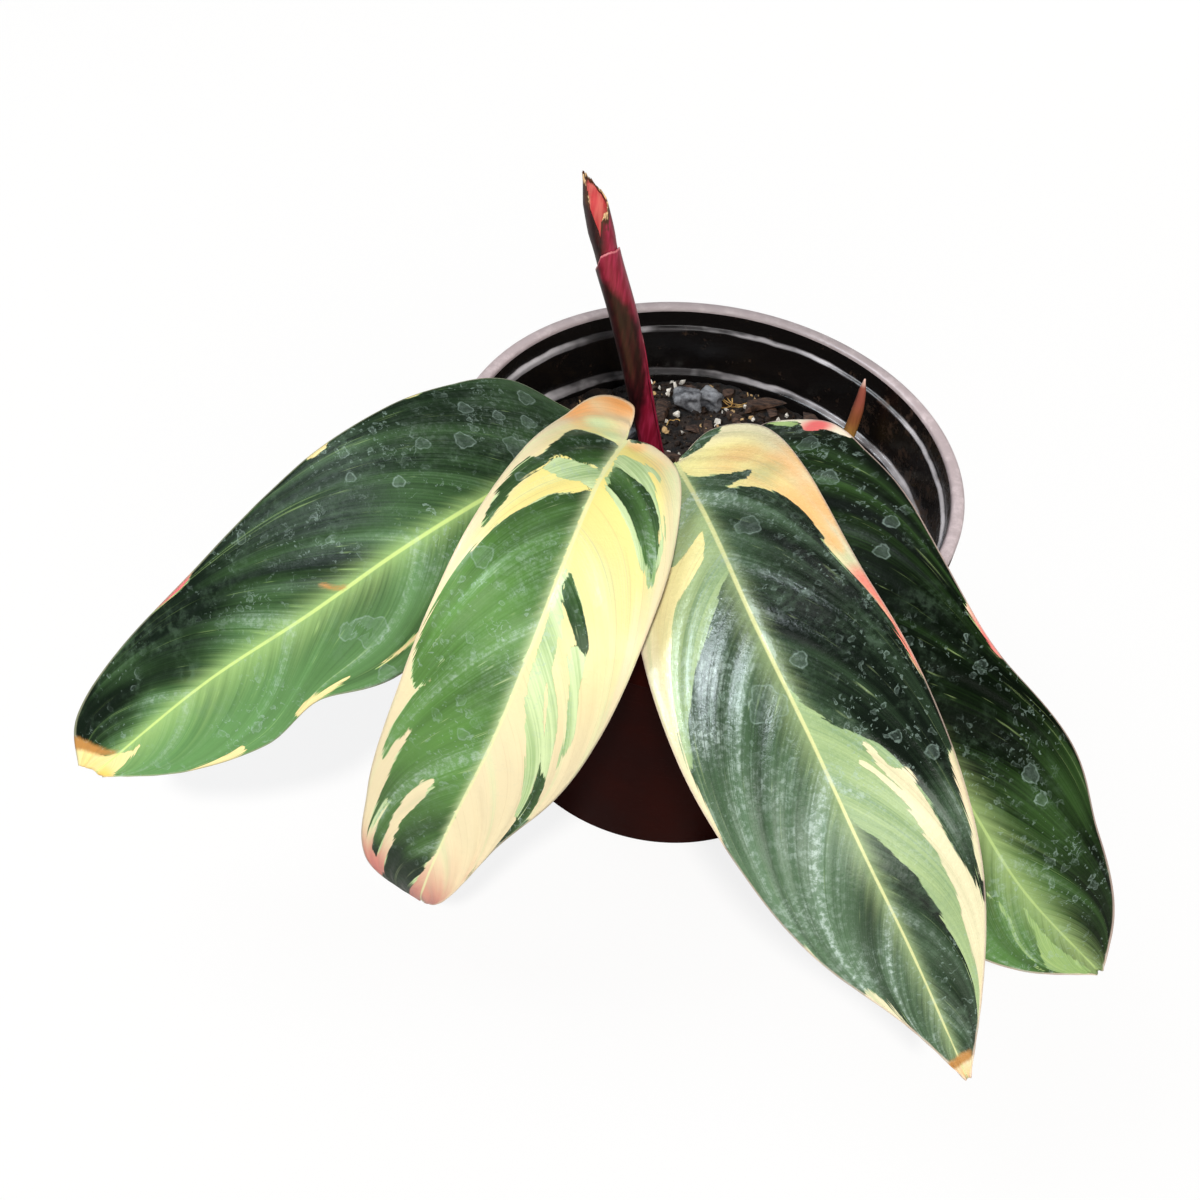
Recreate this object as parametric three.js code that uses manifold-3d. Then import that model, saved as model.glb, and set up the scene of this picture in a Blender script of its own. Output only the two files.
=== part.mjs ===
// A young prayer plant with pink, cream and green leaves, in the six-inch nursery pot it grows in.
// Millimetres, +Z up. The origin is the centre of the pot's underside, on the surface it stands on.
// The plant leans out over the rim towards -Y. Its rhizome lies in the soil, and four leaves, one
// rolled new leaf and one sprout stand on it, each in a plain hole in the soil.

import * as THREE from 'three';
import { mergeVertices } from 'three/addons/utils/BufferGeometryUtils.js';
import Module from 'manifold-3d';

const wasm = await Module();
wasm.setup();

// ---------------------------------------------------------------- driving dimensions

const CLEARANCE = 0.3;           // between two pieces that touch on the real plant

const POT = {
  height: 120,
  rimRadius: 76,                 // six inches across the lip
  rimInner: 72,
  lipDepth: 7,
  lipEdge: 0.9,                  // rounding of the lip's two upper edges
  lipFootEdge: 0.6,              // and of its two lower ones
  collarRadius: 72.3,            // the band under the lip
  collarDepth: 24,
  collarSlope: 1.5,              // height of the slope from the shoulder out to the collar
  shoulderRadius: 70,            // top of the tapered wall, under the collar
  baseRadius: 57,
  baseEdge: 1,
  wall: 1.7,
  floor: 2.4,
  draft: 0.2,                    // the mould's draft over the height of the collar
  baseThickening: 0.4,           // of the wall, where it meets the floor
  segments: 60,
};
const DRAIN = { count: 8, radius: 4.5, ring: 45, segments: 12 };

const SOIL = {
  level: 93,
  mound: 2.5,                    // height of the mound round the plant
  moundRadius: 30,
  roughness: 1.1,
  broad: { x: 0.21, y: 0.17, phase: 1.3 },     // radians for each millimetre
  fine: { x: 0.31, y: 0.43, phase: 2, share: 0.6 },
  edgeDrop: 3,                   // the bed's rim stays flat this far below the level
  rings: [0.96, 0.84, 0.72, 0.6, 0.48, 0.36, 0.24, 0.12],
  segments: 44,
  seed: 11,
};
const BARK = { count: 18, size: [6.5, 4, 1.8], least: 0.7, spread: 0.6, tilt: 0.5, rise: 0.2 };
const PERLITE = { count: 30, size: [1.4, 1.26, 1.26], least: 0.8, spread: 0.5, tilt: 3, rise: 0.1 };
const CHIP_ROOM = { inner: 17, outer: 62, crown: 17, sprout: 9 };    // radii where chips may lie

const CROWN = { centre: [-12, 11, 78], radii: [18, 13, 10], around: 14, high: 9 };
const ROOTS = {
  count: 6,
  reach: 40,
  reachSpread: 0.3,
  drop: 48,
  start: -4,                     // from the crown's middle
  knee: { out: 0.6, down: 0.4 }, // shares of the reach and the drop
  tip: 0.8,                      // share of the reach
  radius: 1.7,
  taper: 0.6,
  facets: 5,
};

const BLADE = {
  thickness: 0.8,
  firstShare: 0.012,             // where the mesh starts and ends, as shares from base to tip
  lastShare: 0.992,
  rows: 26,
  columns: 10,
  veinStart: 1.6,                // how the side veins gather at the base
  veinSweep: 1.3,                // and curve towards the tip
  halfWidth: 32,                 // the curl angles are those reached this far from the midrib
  halfPhase: 1.3,                // the right half's ripple against the left one's
};
const STALK = {
  foot: 2.8,                     // radii, from the rhizome up to the keel's end
  neck: 2.0,
  joint: 2.5,
  keel: 1.5,
  keelEnd: 0.6,
  neckFrom: 0.45,                // shares of the free length at which those radii are reached
  neckTo: 0.72,
  jointAt: 0.9,
  keelAt: 1.04,
  footRise: 5,                   // above the crown's middle
  neckRise: 6,                   // above the soil
  neckLean: 0.14,                // share of the way across to the joint
  jointBack: 5,                  // from the blade's base, back along the midrib
  jointDrop: 7,                  // and down
  keelShare: 0.66,               // of the blade's length
  keelGap: 0.5,
  keelSlack: 1.08,               // room for the bar's corners
  keelStations: [4, 14, 26, 40, 56, 74, 94, 116],
  lastStep: 8,                   // from the last station to the keel's end, at least
  sides: 7,
  rings: 28,
};

// Each leaf: its midrib's course in space, and each half's margin as (along the midrib, out from it),
// from the base round to the tip. Five stations from base to tip give, in degrees, the roll of the
// blade about its midrib, the angle at which each half leaves the midrib and how far it curls.
const LEAVES = {
  leaf_back_left: {
    foot: [-22, 12],
    midrib: [[-33, -5, 127], [-47, -31, 135], [-63, -53, 138], [-80, -69, 133], [-100, -82, 120],
      [-127, -92, 98], [-158, -104, 66]],
    left: [[0, 0], [2, 12], [12, 28], [41, 37], [78, 38.5], [106, 36], [134, 28.5], [163, 23.5],
      [187, 16], [194, 4]],
    right: [[0, 0], [3, 5], [13, 12], [38, 20], [72, 24], [102, 27.5], [122, 20.5], [142, 23],
      [166, 15.5], [190, 1]],
    roll: [-10, -20, -22, -20, -18],
    foldLeft: [4, 2, 0, 0, 0],
    foldRight: [0, -10, -18, -12, -4],
    curlLeft: [-12, -18, -18, -16, -10],
    curlRight: [-10, -20, -30, -24, -14],
    ripple: { height: 0.9, waves: 5, phase: 0.4 },
  },
  leaf_front_left: {
    foot: [-17, 4],
    midrib: [[-25, -14, 134], [-31, -41, 141], [-37, -72, 139], [-42, -89, 126], [-49, -101, 102],
      [-59, -108, 69], [-65, -112, 44], [-66, -106, 27]],
    left: [[0, 0], [-21, 4], [-15, 15], [20, 21], [56, 25.5], [90, 28], [124, 27.5], [150, 25],
      [174, 19.5], [190, 0]],
    right: [[0, 0], [3, 9], [18, 20], [46, 25.5], [76, 26], [100, 25.5], [122, 22.5], [144, 14.5],
      [168, 8], [190, 0]],
    roll: [0, -8, -12, -8, 0],
    foldLeft: [8, 8, 8, 2, 0],
    foldRight: [14, 10, 0, -4, 0],
    curlLeft: [-12, -12, -12, -14, -10],
    curlRight: [-10, -20, -36, -44, -30],
    ripple: { height: 0.6, waves: 4, phase: 2.0 },
  },
  leaf_front_right: {
    foot: [-8, 3],
    midrib: [[-10, -13, 127], [0, -45, 135], [13, -80, 136], [28, -106, 128], [44, -126, 112],
      [62, -139, 88], [84, -154, 55]],
    left: [[0, 0], [0, 7], [12, 16], [38, 24], [67, 29.5], [100, 32], [131, 28], [158, 21],
      [184, 8.5], [208, 0]],
    right: [[0, 0], [-10, 14], [-5, 28], [24, 31], [62, 31.5], [96, 33], [127, 30.5], [156, 24],
      [184, 12], [208, 0]],
    roll: [8, 16, 22, 22, 18],
    foldLeft: [0, 0, 0, 0, 0],
    foldRight: [8, 4, 0, 0, 0],
    curlLeft: [-12, -18, -18, -16, -10],
    curlRight: [-12, -18, -18, -16, -10],
    ripple: { height: 0.7, waves: 5, phase: 3.6 },
  },
  leaf_back_right: {
    foot: [-1, 10],
    midrib: [[7, -1, 126], [16, -26, 133], [32, -58, 137], [51, -88, 128], [72, -107, 110],
      [91, -117, 90], [121, -120, 60]],
    left: [[0, 0], [0, 10], [10, 20], [36, 27], [72, 31], [106, 31], [136, 29], [162, 23],
      [185, 13.5], [206, 0]],
    right: [[0, 0], [-4, 13], [8, 26], [40, 30], [74, 27.5], [104, 28.5], [138, 32.5], [168, 25],
      [192, 14], [206, 0]],
    roll: [10, 18, 22, 22, 20],
    foldLeft: [6, 4, 0, 0, 0],
    foldRight: [6, 4, 0, 0, 0],
    curlLeft: [-10, -14, -16, -16, -10],
    curlRight: [-12, -18, -18, -16, -10],
    ripple: { height: 0.8, waves: 5, phase: 5.0 },
  },
};

// The rolled leaf and the sprout: the axis from the rhizome up, and the radius along it.
const ROLLED_LEAF = {
  axis: [[-11, 17.5, 84], [-15.5, 17, 101], [-21, 17, 120], [-29, 15, 150], [-37, 12, 176], [-44, 12, 200]],
  profile: [[0, 3.1], [0.12, 3.2], [0.4, 3.9], [0.62, 4.3], [0.8, 4.1], [0.9, 3.4], [0.96, 2.2], [1, 0.5]],
  wrapStep: 0.22,                // share of the radius by which the wrap's free edge stands out
  wrapTurns: 0.75,               // turns that the free edge makes round the roll on its way up
  sides: 20,
  rings: 18,
};
const SPROUT = {
  axis: [[43, 41, 78], [46, 43, 93], [47.5, 44.5, 108], [47, 43.5, 122]],
  profile: [[0, 2.0], [0.4, 2.2], [0.7, 1.9], [0.9, 1.1], [1, 0.25]],
  sides: 10,
  rings: 10,
};

// The runner leads through the soil from the rhizome to the sprout.
const RUNNER = { from: [-6, 12, 76], to: [43, 41, 75], sag: [0, 0, -4], radius: 3.4, sides: 8, rings: 6 };

const FINISHES = {
  pot: { color: 0x1d1416, roughness: 0.35 },
  soil: { color: 0x2b221d, roughness: 0.95 },
  rhizome: { color: 0xb59a72, roughness: 0.8 },
  blade: { color: 0x2f5a2c, roughness: 0.4 },
  stalk: { color: 0x6d1f35, roughness: 0.5 },
  rolledLeaf: { color: 0x8a1b45, roughness: 0.5 },
  sprout: { color: 0xa06a44, roughness: 0.6 },
};

// ---------------------------------------------------------------- general helpers

const WELD = 1e-4;               // vertices closer than this are one
const STEEP = 0.02;              // a direction with less level run than this counts as upright

const vec = (p) => new THREE.Vector3(...p);
const spline = (points) => new THREE.CatmullRomCurve3(points.map(vec), false, 'catmullrom', 0.5);
const track = (values) => {
  const curve = spline(values.map((value) => [value, 0, 0]));
  return (share) => curve.getPoint(THREE.MathUtils.clamp(share, 0, 1)).x;
};
const outline = (points) => {
  const curve = spline(points.map(([along, across]) => [along, across, 0]));
  return (share) => curve.getPoint(share);
};
// Linear interpolation in a list of [position, value] pairs.
const graph = (pairs) => (x) => {
  const last = pairs.length - 1;
  const i = Math.min(Math.max(pairs.findIndex(([at]) => at > x) - 1, 0), last - 1);
  const index = x >= pairs[last][0] ? last - 1 : i;
  const [x0, y0] = pairs[index];
  const [x1, y1] = pairs[index + 1];
  return y0 + ((y1 - y0) * (x - x0)) / (x1 - x0);
};

// A seeded source of numbers from 0 to 1: a linear congruential generator of 32 bits.
function dice(seed) {
  const [factor, step, range] = [1664525, 1013904223, 2 ** 32];
  let state = seed;
  return () => {
    state = (state * factor + step) % range;
    return state / range;
  };
}

// A closed three.js geometry as a solid, its faces turned outwards.
function solid(geometry) {
  const bare = geometry.index ? geometry.toNonIndexed() : geometry.clone();
  bare.deleteAttribute('normal');
  bare.deleteAttribute('uv');
  const merged = mergeVertices(bare, WELD);
  const points = merged.attributes.position.array;
  const corners = [];
  for (let i = 0; i < merged.index.count; i += 3) {
    const [a, b, c] = [0, 1, 2].map((k) => merged.index.getX(i + k));
    if (a !== b && b !== c && c !== a) corners.push(a, b, c);
  }
  if (signedVolume(points, corners) < 0) {
    for (let i = 0; i < corners.length; i += 3) {
      [corners[i], corners[i + 1]] = [corners[i + 1], corners[i]];
    }
  }
  const mesh = new wasm.Mesh({
    numProp: 3,
    vertProperties: Float32Array.from(points),
    triVerts: Uint32Array.from(corners),
  });
  return new wasm.Manifold(mesh);
}

function signedVolume(points, corners) {
  const corner = (i) => new THREE.Vector3().fromArray(points, 3 * corners[i]);
  let volume = 0;
  for (let i = 0; i < corners.length; i += 3) {
    volume += corner(i).dot(corner(i + 1).cross(corner(i + 2)));
  }
  return volume;
}

function geometryOf(body) {
  const mesh = body.getMesh();
  const geometry = new THREE.BufferGeometry();
  geometry.setAttribute('position', new THREE.BufferAttribute(Float32Array.from(mesh.vertProperties), 3));
  geometry.setIndex(Array.from(mesh.triVerts));
  geometry.computeVertexNormals();
  return geometry;
}

const union = (bodies) => bodies.reduce((sum, body) => sum.add(body));

// A round bar bent along a curve: the radius follows the share of the length, and the optional
// factor shapes the section by angle and share.
function bentBar(curve, radiusAt, sides, rings, factor = () => 1) {
  const profile = [new THREE.Vector2(0, 0)];
  for (let i = 0; i <= rings; i += 1) profile.push(new THREE.Vector2(1, i / rings));
  profile.push(new THREE.Vector2(0, 1));
  const bar = new THREE.LatheGeometry(profile, sides);
  const place = bar.attributes.position;
  for (let i = 0; i < place.count; i += 1) {
    const share = THREE.MathUtils.clamp(place.getY(i), 0, 1);
    const angle = Math.atan2(place.getZ(i), place.getX(i));
    const out = Math.hypot(place.getX(i), place.getZ(i)) * radiusAt(share) * factor(angle, share);
    const { centre, side, front } = crossFrame(curve, share);
    centre.addScaledVector(side, out * Math.cos(angle)).addScaledVector(front, out * Math.sin(angle));
    place.setXYZ(i, centre.x, centre.y, centre.z);
  }
  return solid(bar);
}

// The axes across a curve, with the side level wherever the curve isn't.
function crossFrame(curve, share) {
  const tangent = curve.getTangentAt(share);
  const side = new THREE.Vector3(tangent.y, -tangent.x, 0);
  if (side.length() < STEEP) side.set(1, 0, 0);
  side.addScaledVector(tangent, -side.dot(tangent)).normalize();
  const front = new THREE.Vector3().crossVectors(tangent, side);
  return { centre: curve.getPointAt(share), side, front };
}

// ---------------------------------------------------------------- leaves

function makeLeafShape(leaf) {
  const midrib = spline(leaf.midrib);
  const length = midrib.getLength();
  const heading = vec(leaf.midrib.at(-1)).sub(vec(leaf.midrib[0]));
  const level = new THREE.Vector3(-heading.y, heading.x, 0).normalize();
  const margins = { left: outline(leaf.left), right: outline(leaf.right) };
  const folds = { left: track(leaf.foldLeft), right: track(leaf.foldRight) };
  const curls = { left: track(leaf.curlLeft), right: track(leaf.curlRight) };
  const roll = track(leaf.roll);

  // Centre, side and upper axes at a distance along the midrib; before the base it runs on straight.
  const frameAt = (along) => {
    const share = THREE.MathUtils.clamp(along / length, 0, 1);
    const tangent = midrib.getTangentAt(share);
    const beyond = along - share * length;
    const centre = midrib.getPointAt(share).addScaledVector(tangent, beyond);
    const flat = level.clone().addScaledVector(tangent, -level.dot(tangent)).normalize();
    const up = new THREE.Vector3().crossVectors(tangent, flat);
    const angle = THREE.MathUtils.degToRad(roll(share));
    const side = flat.clone().multiplyScalar(Math.cos(angle)).addScaledVector(up, Math.sin(angle));
    const upper = new THREE.Vector3().crossVectors(tangent, side);
    return { centre, tangent, side, upper, share };
  };

  // The blade's middle surface at a share u from base to tip, and t from -1, the left margin, over
  // 0, the midrib, to 1, the right margin; raised by lift along the blade's own normal.
  const pointAt = (u, t, lift) => {
    const half = t < 0 ? 'left' : 'right';
    const edge = margins[half](u);
    const out = Math.abs(t);
    const root = length * u ** BLADE.veinStart;
    const along = root + (edge.x - root) * out ** BLADE.veinSweep;
    const across = edge.y * out;
    const { centre, side, upper, share } = frameAt(along);
    const fold = THREE.MathUtils.degToRad(folds[half](share));
    const bend = THREE.MathUtils.degToRad(curls[half](share)) / BLADE.halfWidth;
    const turn = fold + bend * across;
    const lag = t < 0 ? 0 : BLADE.halfPhase;
    const wave = leaf.ripple.waves * 2 * Math.PI * u + leaf.ripple.phase + lag;
    const rise = leaf.ripple.height * out ** 2 * Math.sin(wave) * Math.sin(Math.PI * u);
    const outward = (Math.sin(turn) - Math.sin(fold)) / bend - lift * Math.sin(turn);
    const upward = (Math.cos(fold) - Math.cos(turn)) / bend + lift * Math.cos(turn) + rise;
    return centre.addScaledVector(side, Math.sign(t) * outward).addScaledVector(upper, upward);
  };
  return { length, frameAt, pointAt };
}

// A thin closed sheet: both faces are cut into triangles along the same diagonals.
function makeBlade(shape) {
  const { rows, columns, thickness, firstShare, lastShare } = BLADE;
  const points = [];
  const corners = [];
  for (const lift of [thickness / 2, -thickness / 2]) {
    for (let i = 0; i <= rows; i += 1) {
      const u = THREE.MathUtils.lerp(firstShare, lastShare, i / rows);
      for (let j = 0; j <= columns; j += 1) {
        points.push(...shape.pointAt(u, (2 * j) / columns - 1, lift));
      }
    }
  }
  const layer = (rows + 1) * (columns + 1);
  const at = (i, j) => i * (columns + 1) + j;
  const quad = (a, b, c, d) => corners.push(a, b, c, a, c, d);
  for (let i = 0; i < rows; i += 1) {
    for (let j = 0; j < columns; j += 1) {
      const [a, b, c, d] = [at(i, j), at(i, j + 1), at(i + 1, j + 1), at(i + 1, j)];
      quad(a, b, c, d);
      corners.push(a + layer, c + layer, b + layer, a + layer, d + layer, c + layer);
    }
  }
  for (let i = 0; i < rows; i += 1) {
    quad(at(i, 0), at(i + 1, 0), at(i + 1, 0) + layer, at(i, 0) + layer);
    quad(at(i + 1, columns), at(i, columns), at(i, columns) + layer, at(i + 1, columns) + layer);
  }
  for (let j = 0; j < columns; j += 1) {
    quad(at(0, j + 1), at(0, j), at(0, j) + layer, at(0, j + 1) + layer);
    quad(at(rows, j), at(rows, j + 1), at(rows, j + 1) + layer, at(rows, j) + layer);
  }
  const geometry = new THREE.BufferGeometry();
  geometry.setAttribute('position', new THREE.BufferAttribute(Float32Array.from(points), 3));
  geometry.setIndex(corners);
  return solid(geometry);
}

// The stalk rises from the rhizome, thickens at its joint with the blade and runs on under the
// blade as the keel of the midrib.
function makeStalk(leaf, shape, grow) {
  const gap = BLADE.thickness / 2 + STALK.keelGap;
  const keelLength = STALK.keelShare * shape.length;
  const keelRadius = graph([[0, STALK.keel], [keelLength, STALK.keelEnd]]);
  const keelPoint = (along) => {
    const { centre, upper } = shape.frameAt(along);
    return centre.addScaledVector(upper, -(gap + STALK.keelSlack * keelRadius(along)));
  };
  const [x, y] = leaf.foot;
  const { centre: base, tangent, upper } = shape.frameAt(0);
  const foot = new THREE.Vector3(x, y, CROWN.centre[2] + STALK.footRise);
  const joint = base.clone().addScaledVector(tangent, -STALK.jointBack);
  joint.addScaledVector(upper, -STALK.jointDrop);
  const neck = foot.clone().lerp(joint, STALK.neckLean).setZ(SOIL.level + STALK.neckRise);
  const stations = STALK.keelStations.filter((along) => along < keelLength - STALK.lastStep);
  const route = [foot, neck, joint, ...stations.map(keelPoint), keelPoint(keelLength)];
  const curve = new THREE.CatmullRomCurve3(route, false, 'centripetal');
  const total = curve.getLength();
  const stem = (total - keelLength) / total;
  const radiusAt = graph([
    [0, STALK.foot],
    [stem * STALK.neckFrom, STALK.neck],
    [stem * STALK.neckTo, STALK.neck],
    [stem * STALK.jointAt, STALK.joint],
    [stem * STALK.keelAt, STALK.keel],
    [1, STALK.keelEnd],
  ]);
  return bentBar(curve, (share) => radiusAt(share) + grow, STALK.sides, STALK.rings);
}

// ---------------------------------------------------------------- rolled leaf, sprout, rhizome

// A snail-shaped section: the radius grows round the roll and steps back at the wrap's free edge.
function makeRolledLeaf(grow) {
  const { axis, profile, wrapStep, wrapTurns, sides, rings } = ROLLED_LEAF;
  const radiusAt = graph(profile);
  const section = (angle, share) => {
    const turns = angle / (2 * Math.PI) + wrapTurns * share;
    return 1 + wrapStep * (turns - Math.floor(turns) - 0.5);
  };
  return bentBar(spline(axis), (share) => radiusAt(share) + grow, sides, rings, section);
}

function makeSprout(grow) {
  const radiusAt = graph(SPROUT.profile);
  return bentBar(spline(SPROUT.axis), (share) => radiusAt(share) + grow, SPROUT.sides, SPROUT.rings);
}

function makeRhizome(grow) {
  const crown = new THREE.SphereGeometry(1, CROWN.around, CROWN.high);
  crown.scale(...CROWN.radii.map((radius) => radius + grow));
  crown.translate(...CROWN.centre);
  const middle = vec(RUNNER.from).lerp(vec(RUNNER.to), 0.5).add(vec(RUNNER.sag));
  const runner = new THREE.CatmullRomCurve3([vec(RUNNER.from), middle, vec(RUNNER.to)]);
  const runnerBar = bentBar(runner, () => RUNNER.radius + grow, RUNNER.sides, RUNNER.rings);
  const bodies = [solid(crown), runnerBar];
  for (let i = 0; i < ROOTS.count; i += 1) bodies.push(makeRoot(i, grow));
  return union(bodies);
}

// Roots leave the crown all round, bend down at a knee and taper to their tips.
function makeRoot(index, grow) {
  const angle = (2 * Math.PI * index) / ROOTS.count;
  const reach = ROOTS.reach * (1 - ROOTS.reachSpread * Math.cos(angle) ** 2);
  const start = vec(CROWN.centre).add(vec([0, 0, ROOTS.start]));
  const pointAt = (out, down) => {
    const level = reach * out;
    return vec([level * Math.cos(angle), level * Math.sin(angle), -ROOTS.drop * down]).add(start);
  };
  const course = [start, pointAt(ROOTS.knee.out, ROOTS.knee.down), pointAt(ROOTS.tip, 1)];
  const radiusAt = (share) => ROOTS.radius * (1 - ROOTS.taper * share) + grow;
  return bentBar(new THREE.CatmullRomCurve3(course), radiusAt, ROOTS.facets, ROOTS.facets);
}

// ---------------------------------------------------------------- pot

function makePot() {
  const { height, rimRadius, rimInner, lipDepth, lipEdge, lipFootEdge, wall, floor, draft } = POT;
  const { collarRadius, collarDepth, collarSlope, shoulderRadius, baseRadius, baseEdge, segments } = POT;
  const lipFoot = height - lipDepth;
  const collarFoot = height - collarDepth;
  const profile = [
    [0, 0],
    [baseRadius - baseEdge, 0],
    [baseRadius, baseEdge],
    [shoulderRadius, collarFoot - collarSlope],
    [collarRadius, collarFoot],
    [collarRadius, lipFoot - lipFootEdge],
    [rimRadius - lipFootEdge, lipFoot],
    [rimRadius, lipFoot + lipFootEdge],
    [rimRadius, height - lipEdge],
    [rimRadius - lipEdge, height],
    [rimInner + lipEdge, height],
    [rimInner, height - lipEdge],
    [rimInner - draft, lipFoot],
    [collarRadius - wall, lipFoot - lipFootEdge],
    [collarRadius - wall - draft, collarFoot + draft],
    [shoulderRadius - wall, collarFoot - lipFootEdge],
    [baseRadius - wall - POT.baseThickening, floor],
    [0, floor],
  ];
  const wallTurn = new THREE.LatheGeometry(profile.map(([r, z]) => new THREE.Vector2(r, z)), segments);
  wallTurn.rotateX(Math.PI / 2);
  let body = solid(wallTurn);
  for (let i = 0; i < DRAIN.count; i += 1) {
    const angle = (2 * Math.PI * (i + 0.5)) / DRAIN.count;
    const hole = new THREE.CylinderGeometry(DRAIN.radius, DRAIN.radius, 4 * floor, DRAIN.segments);
    hole.rotateX(Math.PI / 2);
    hole.translate(DRAIN.ring * Math.cos(angle), DRAIN.ring * Math.sin(angle), 0);
    body = body.subtract(solid(hole));
  }
  return body;
}

// ---------------------------------------------------------------- soil

// The height of the soil: a low mound round the plant, with small hollows and lumps.
function soilHeight(x, y) {
  const { broad, fine } = SOIL;
  const fromCrown = Math.hypot(x - CROWN.centre[0], y - CROWN.centre[1]);
  const mound = SOIL.mound * Math.exp(-((fromCrown / SOIL.moundRadius) ** 2));
  const broadWave = Math.sin(broad.x * x + broad.phase) * Math.cos(broad.y * y);
  const fineWave = fine.share * Math.sin(fine.x * x + fine.y * y + fine.phase);
  return SOIL.level + mound + SOIL.roughness * (broadWave + fineWave);
}

function makeSoilBed() {
  const inner = POT.shoulderRadius - POT.wall - CLEARANCE;
  const bottom = POT.baseRadius - POT.wall - POT.baseThickening - CLEARANCE;
  const floor = POT.floor + CLEARANCE;
  const top = SOIL.level;
  const edge = top - SOIL.edgeDrop;
  const wallAt = (z) => bottom + ((inner - bottom) * (z - floor)) / (POT.height - POT.collarDepth - floor);
  const profile = [[0, floor], [bottom, floor], [wallAt(edge), edge]];
  SOIL.rings.forEach((share) => profile.push([wallAt(top) * share, top]));
  profile.push([0, top]);
  const bed = new THREE.LatheGeometry(profile.map(([r, z]) => new THREE.Vector2(r, z)), SOIL.segments);
  bed.rotateX(Math.PI / 2);
  const place = bed.attributes.position;
  for (let i = 0; i < place.count; i += 1) {
    if (place.getZ(i) > (edge + top) / 2) place.setZ(i, soilHeight(place.getX(i), place.getY(i)));
  }
  return solid(bed);
}

// Bark and perlite lie on the bed with their undersides sunk in it. Sizes are half-axes.
function makeChips() {
  const roll = dice(SOIL.seed);
  const outside = (x, y, [centreX, centreY], radius) => Math.hypot(x - centreX, y - centreY) > radius;
  const bodies = [];
  for (const kind of [BARK, PERLITE]) {
    for (let i = 0; i < kind.count; i += 1) {
      const growth = kind.least + kind.spread * roll();
      const reach = THREE.MathUtils.lerp(CHIP_ROOM.inner, CHIP_ROOM.outer, Math.sqrt(roll()));
      const angle = 2 * Math.PI * roll();
      const x = reach * Math.cos(angle);
      const y = reach * Math.sin(angle);
      const chip = new THREE.IcosahedronGeometry(1, 0);
      chip.scale(...kind.size.map((radius) => radius * growth));
      chip.rotateX(kind.tilt * (roll() - 0.5));
      chip.rotateY(kind.tilt * (roll() - 0.5));
      chip.rotateZ(2 * Math.PI * roll());
      chip.translate(x, y, soilHeight(x, y) + kind.rise);
      const offCrown = outside(x, y, CROWN.centre, CHIP_ROOM.crown);
      const offSprout = outside(x, y, SPROUT.axis[1], CHIP_ROOM.sprout);
      if (offCrown && offSprout) bodies.push(solid(chip));
    }
  }
  return bodies;
}

// ---------------------------------------------------------------- the part

const part = new THREE.Group();
function addPiece(name, body, finish) {
  const material = new THREE.MeshStandardMaterial({ ...finish, metalness: 0 });
  const mesh = new THREE.Mesh(geometryOf(body), material);
  mesh.name = name;
  part.add(mesh);
}

const shapes = Object.entries(LEAVES).map(([name, leaf]) => ({ name, leaf, shape: makeLeafShape(leaf) }));
const holes = [
  ...shapes.map(({ leaf, shape }) => makeStalk(leaf, shape, CLEARANCE)),
  makeRolledLeaf(CLEARANCE),
  makeSprout(CLEARANCE),
];

let soil = union([makeSoilBed(), ...makeChips()]).subtract(makeRhizome(CLEARANCE));
let rhizome = makeRhizome(0);
for (const hole of holes) {
  soil = soil.subtract(hole);
  rhizome = rhizome.subtract(hole);
}

addPiece('pot', makePot(), FINISHES.pot);
addPiece('soil', soil, FINISHES.soil);
addPiece('rhizome', rhizome, FINISHES.rhizome);
for (const { name, leaf, shape } of shapes) {
  addPiece(`${name}_blade`, makeBlade(shape), FINISHES.blade);
  addPiece(`${name}_stalk`, makeStalk(leaf, shape, 0), FINISHES.stalk);
}
addPiece('rolled_leaf', makeRolledLeaf(0), FINISHES.rolledLeaf);
addPiece('sprout', makeSprout(0), FINISHES.sprout);

export default part;
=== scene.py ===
"""A young stromanthe triostar in its nursery pot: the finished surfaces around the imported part.

Sizes are in millimetres, as in the part's own source, and MM turns them into metres. Shaders read
metres, so what they take from tables of their own is in metres too. Each leaf has a flat chart:
along is the distance down the midrib and out the distance from it, positive on the left half of
the leaf as seen from its base. Colour patches are outlined in that chart."""
import math
import random

import bmesh
import bpy
import numpy as np
from mathutils import Matrix, Vector, noise


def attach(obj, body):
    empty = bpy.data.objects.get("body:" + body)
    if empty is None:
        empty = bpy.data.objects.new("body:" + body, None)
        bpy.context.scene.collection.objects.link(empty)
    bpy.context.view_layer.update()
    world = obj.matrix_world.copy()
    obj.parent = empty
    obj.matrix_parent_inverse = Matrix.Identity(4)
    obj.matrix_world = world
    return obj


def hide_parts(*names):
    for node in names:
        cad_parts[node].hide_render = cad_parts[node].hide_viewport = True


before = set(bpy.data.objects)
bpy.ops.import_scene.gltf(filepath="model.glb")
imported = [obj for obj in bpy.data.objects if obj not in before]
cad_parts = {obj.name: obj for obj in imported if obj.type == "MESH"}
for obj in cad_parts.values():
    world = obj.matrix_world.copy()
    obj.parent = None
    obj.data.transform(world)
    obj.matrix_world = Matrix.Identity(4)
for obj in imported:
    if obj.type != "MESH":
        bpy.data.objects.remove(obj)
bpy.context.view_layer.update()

MM = 0.001
MERGED = 1e-6                    # points closer than this, in metres, become one
GUARD = 1e-12                    # keeps a divisor from being nothing
FULL_TURN = 2 * math.pi

# The camera: its frame and focal length in pixels, its sensor's width and distances in millimetres,
# angles in degrees, and the point it aims at.
CAMERA = {
    "frame_pixels": 1200, "sensor": 36, "focal_pixels": 1450, "distance": 478, "nearest": 10,
    "elevation": 47.2, "roll": 7.6, "aim": (-26.4, 0, 51.5),
}

# --- dimensions

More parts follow.
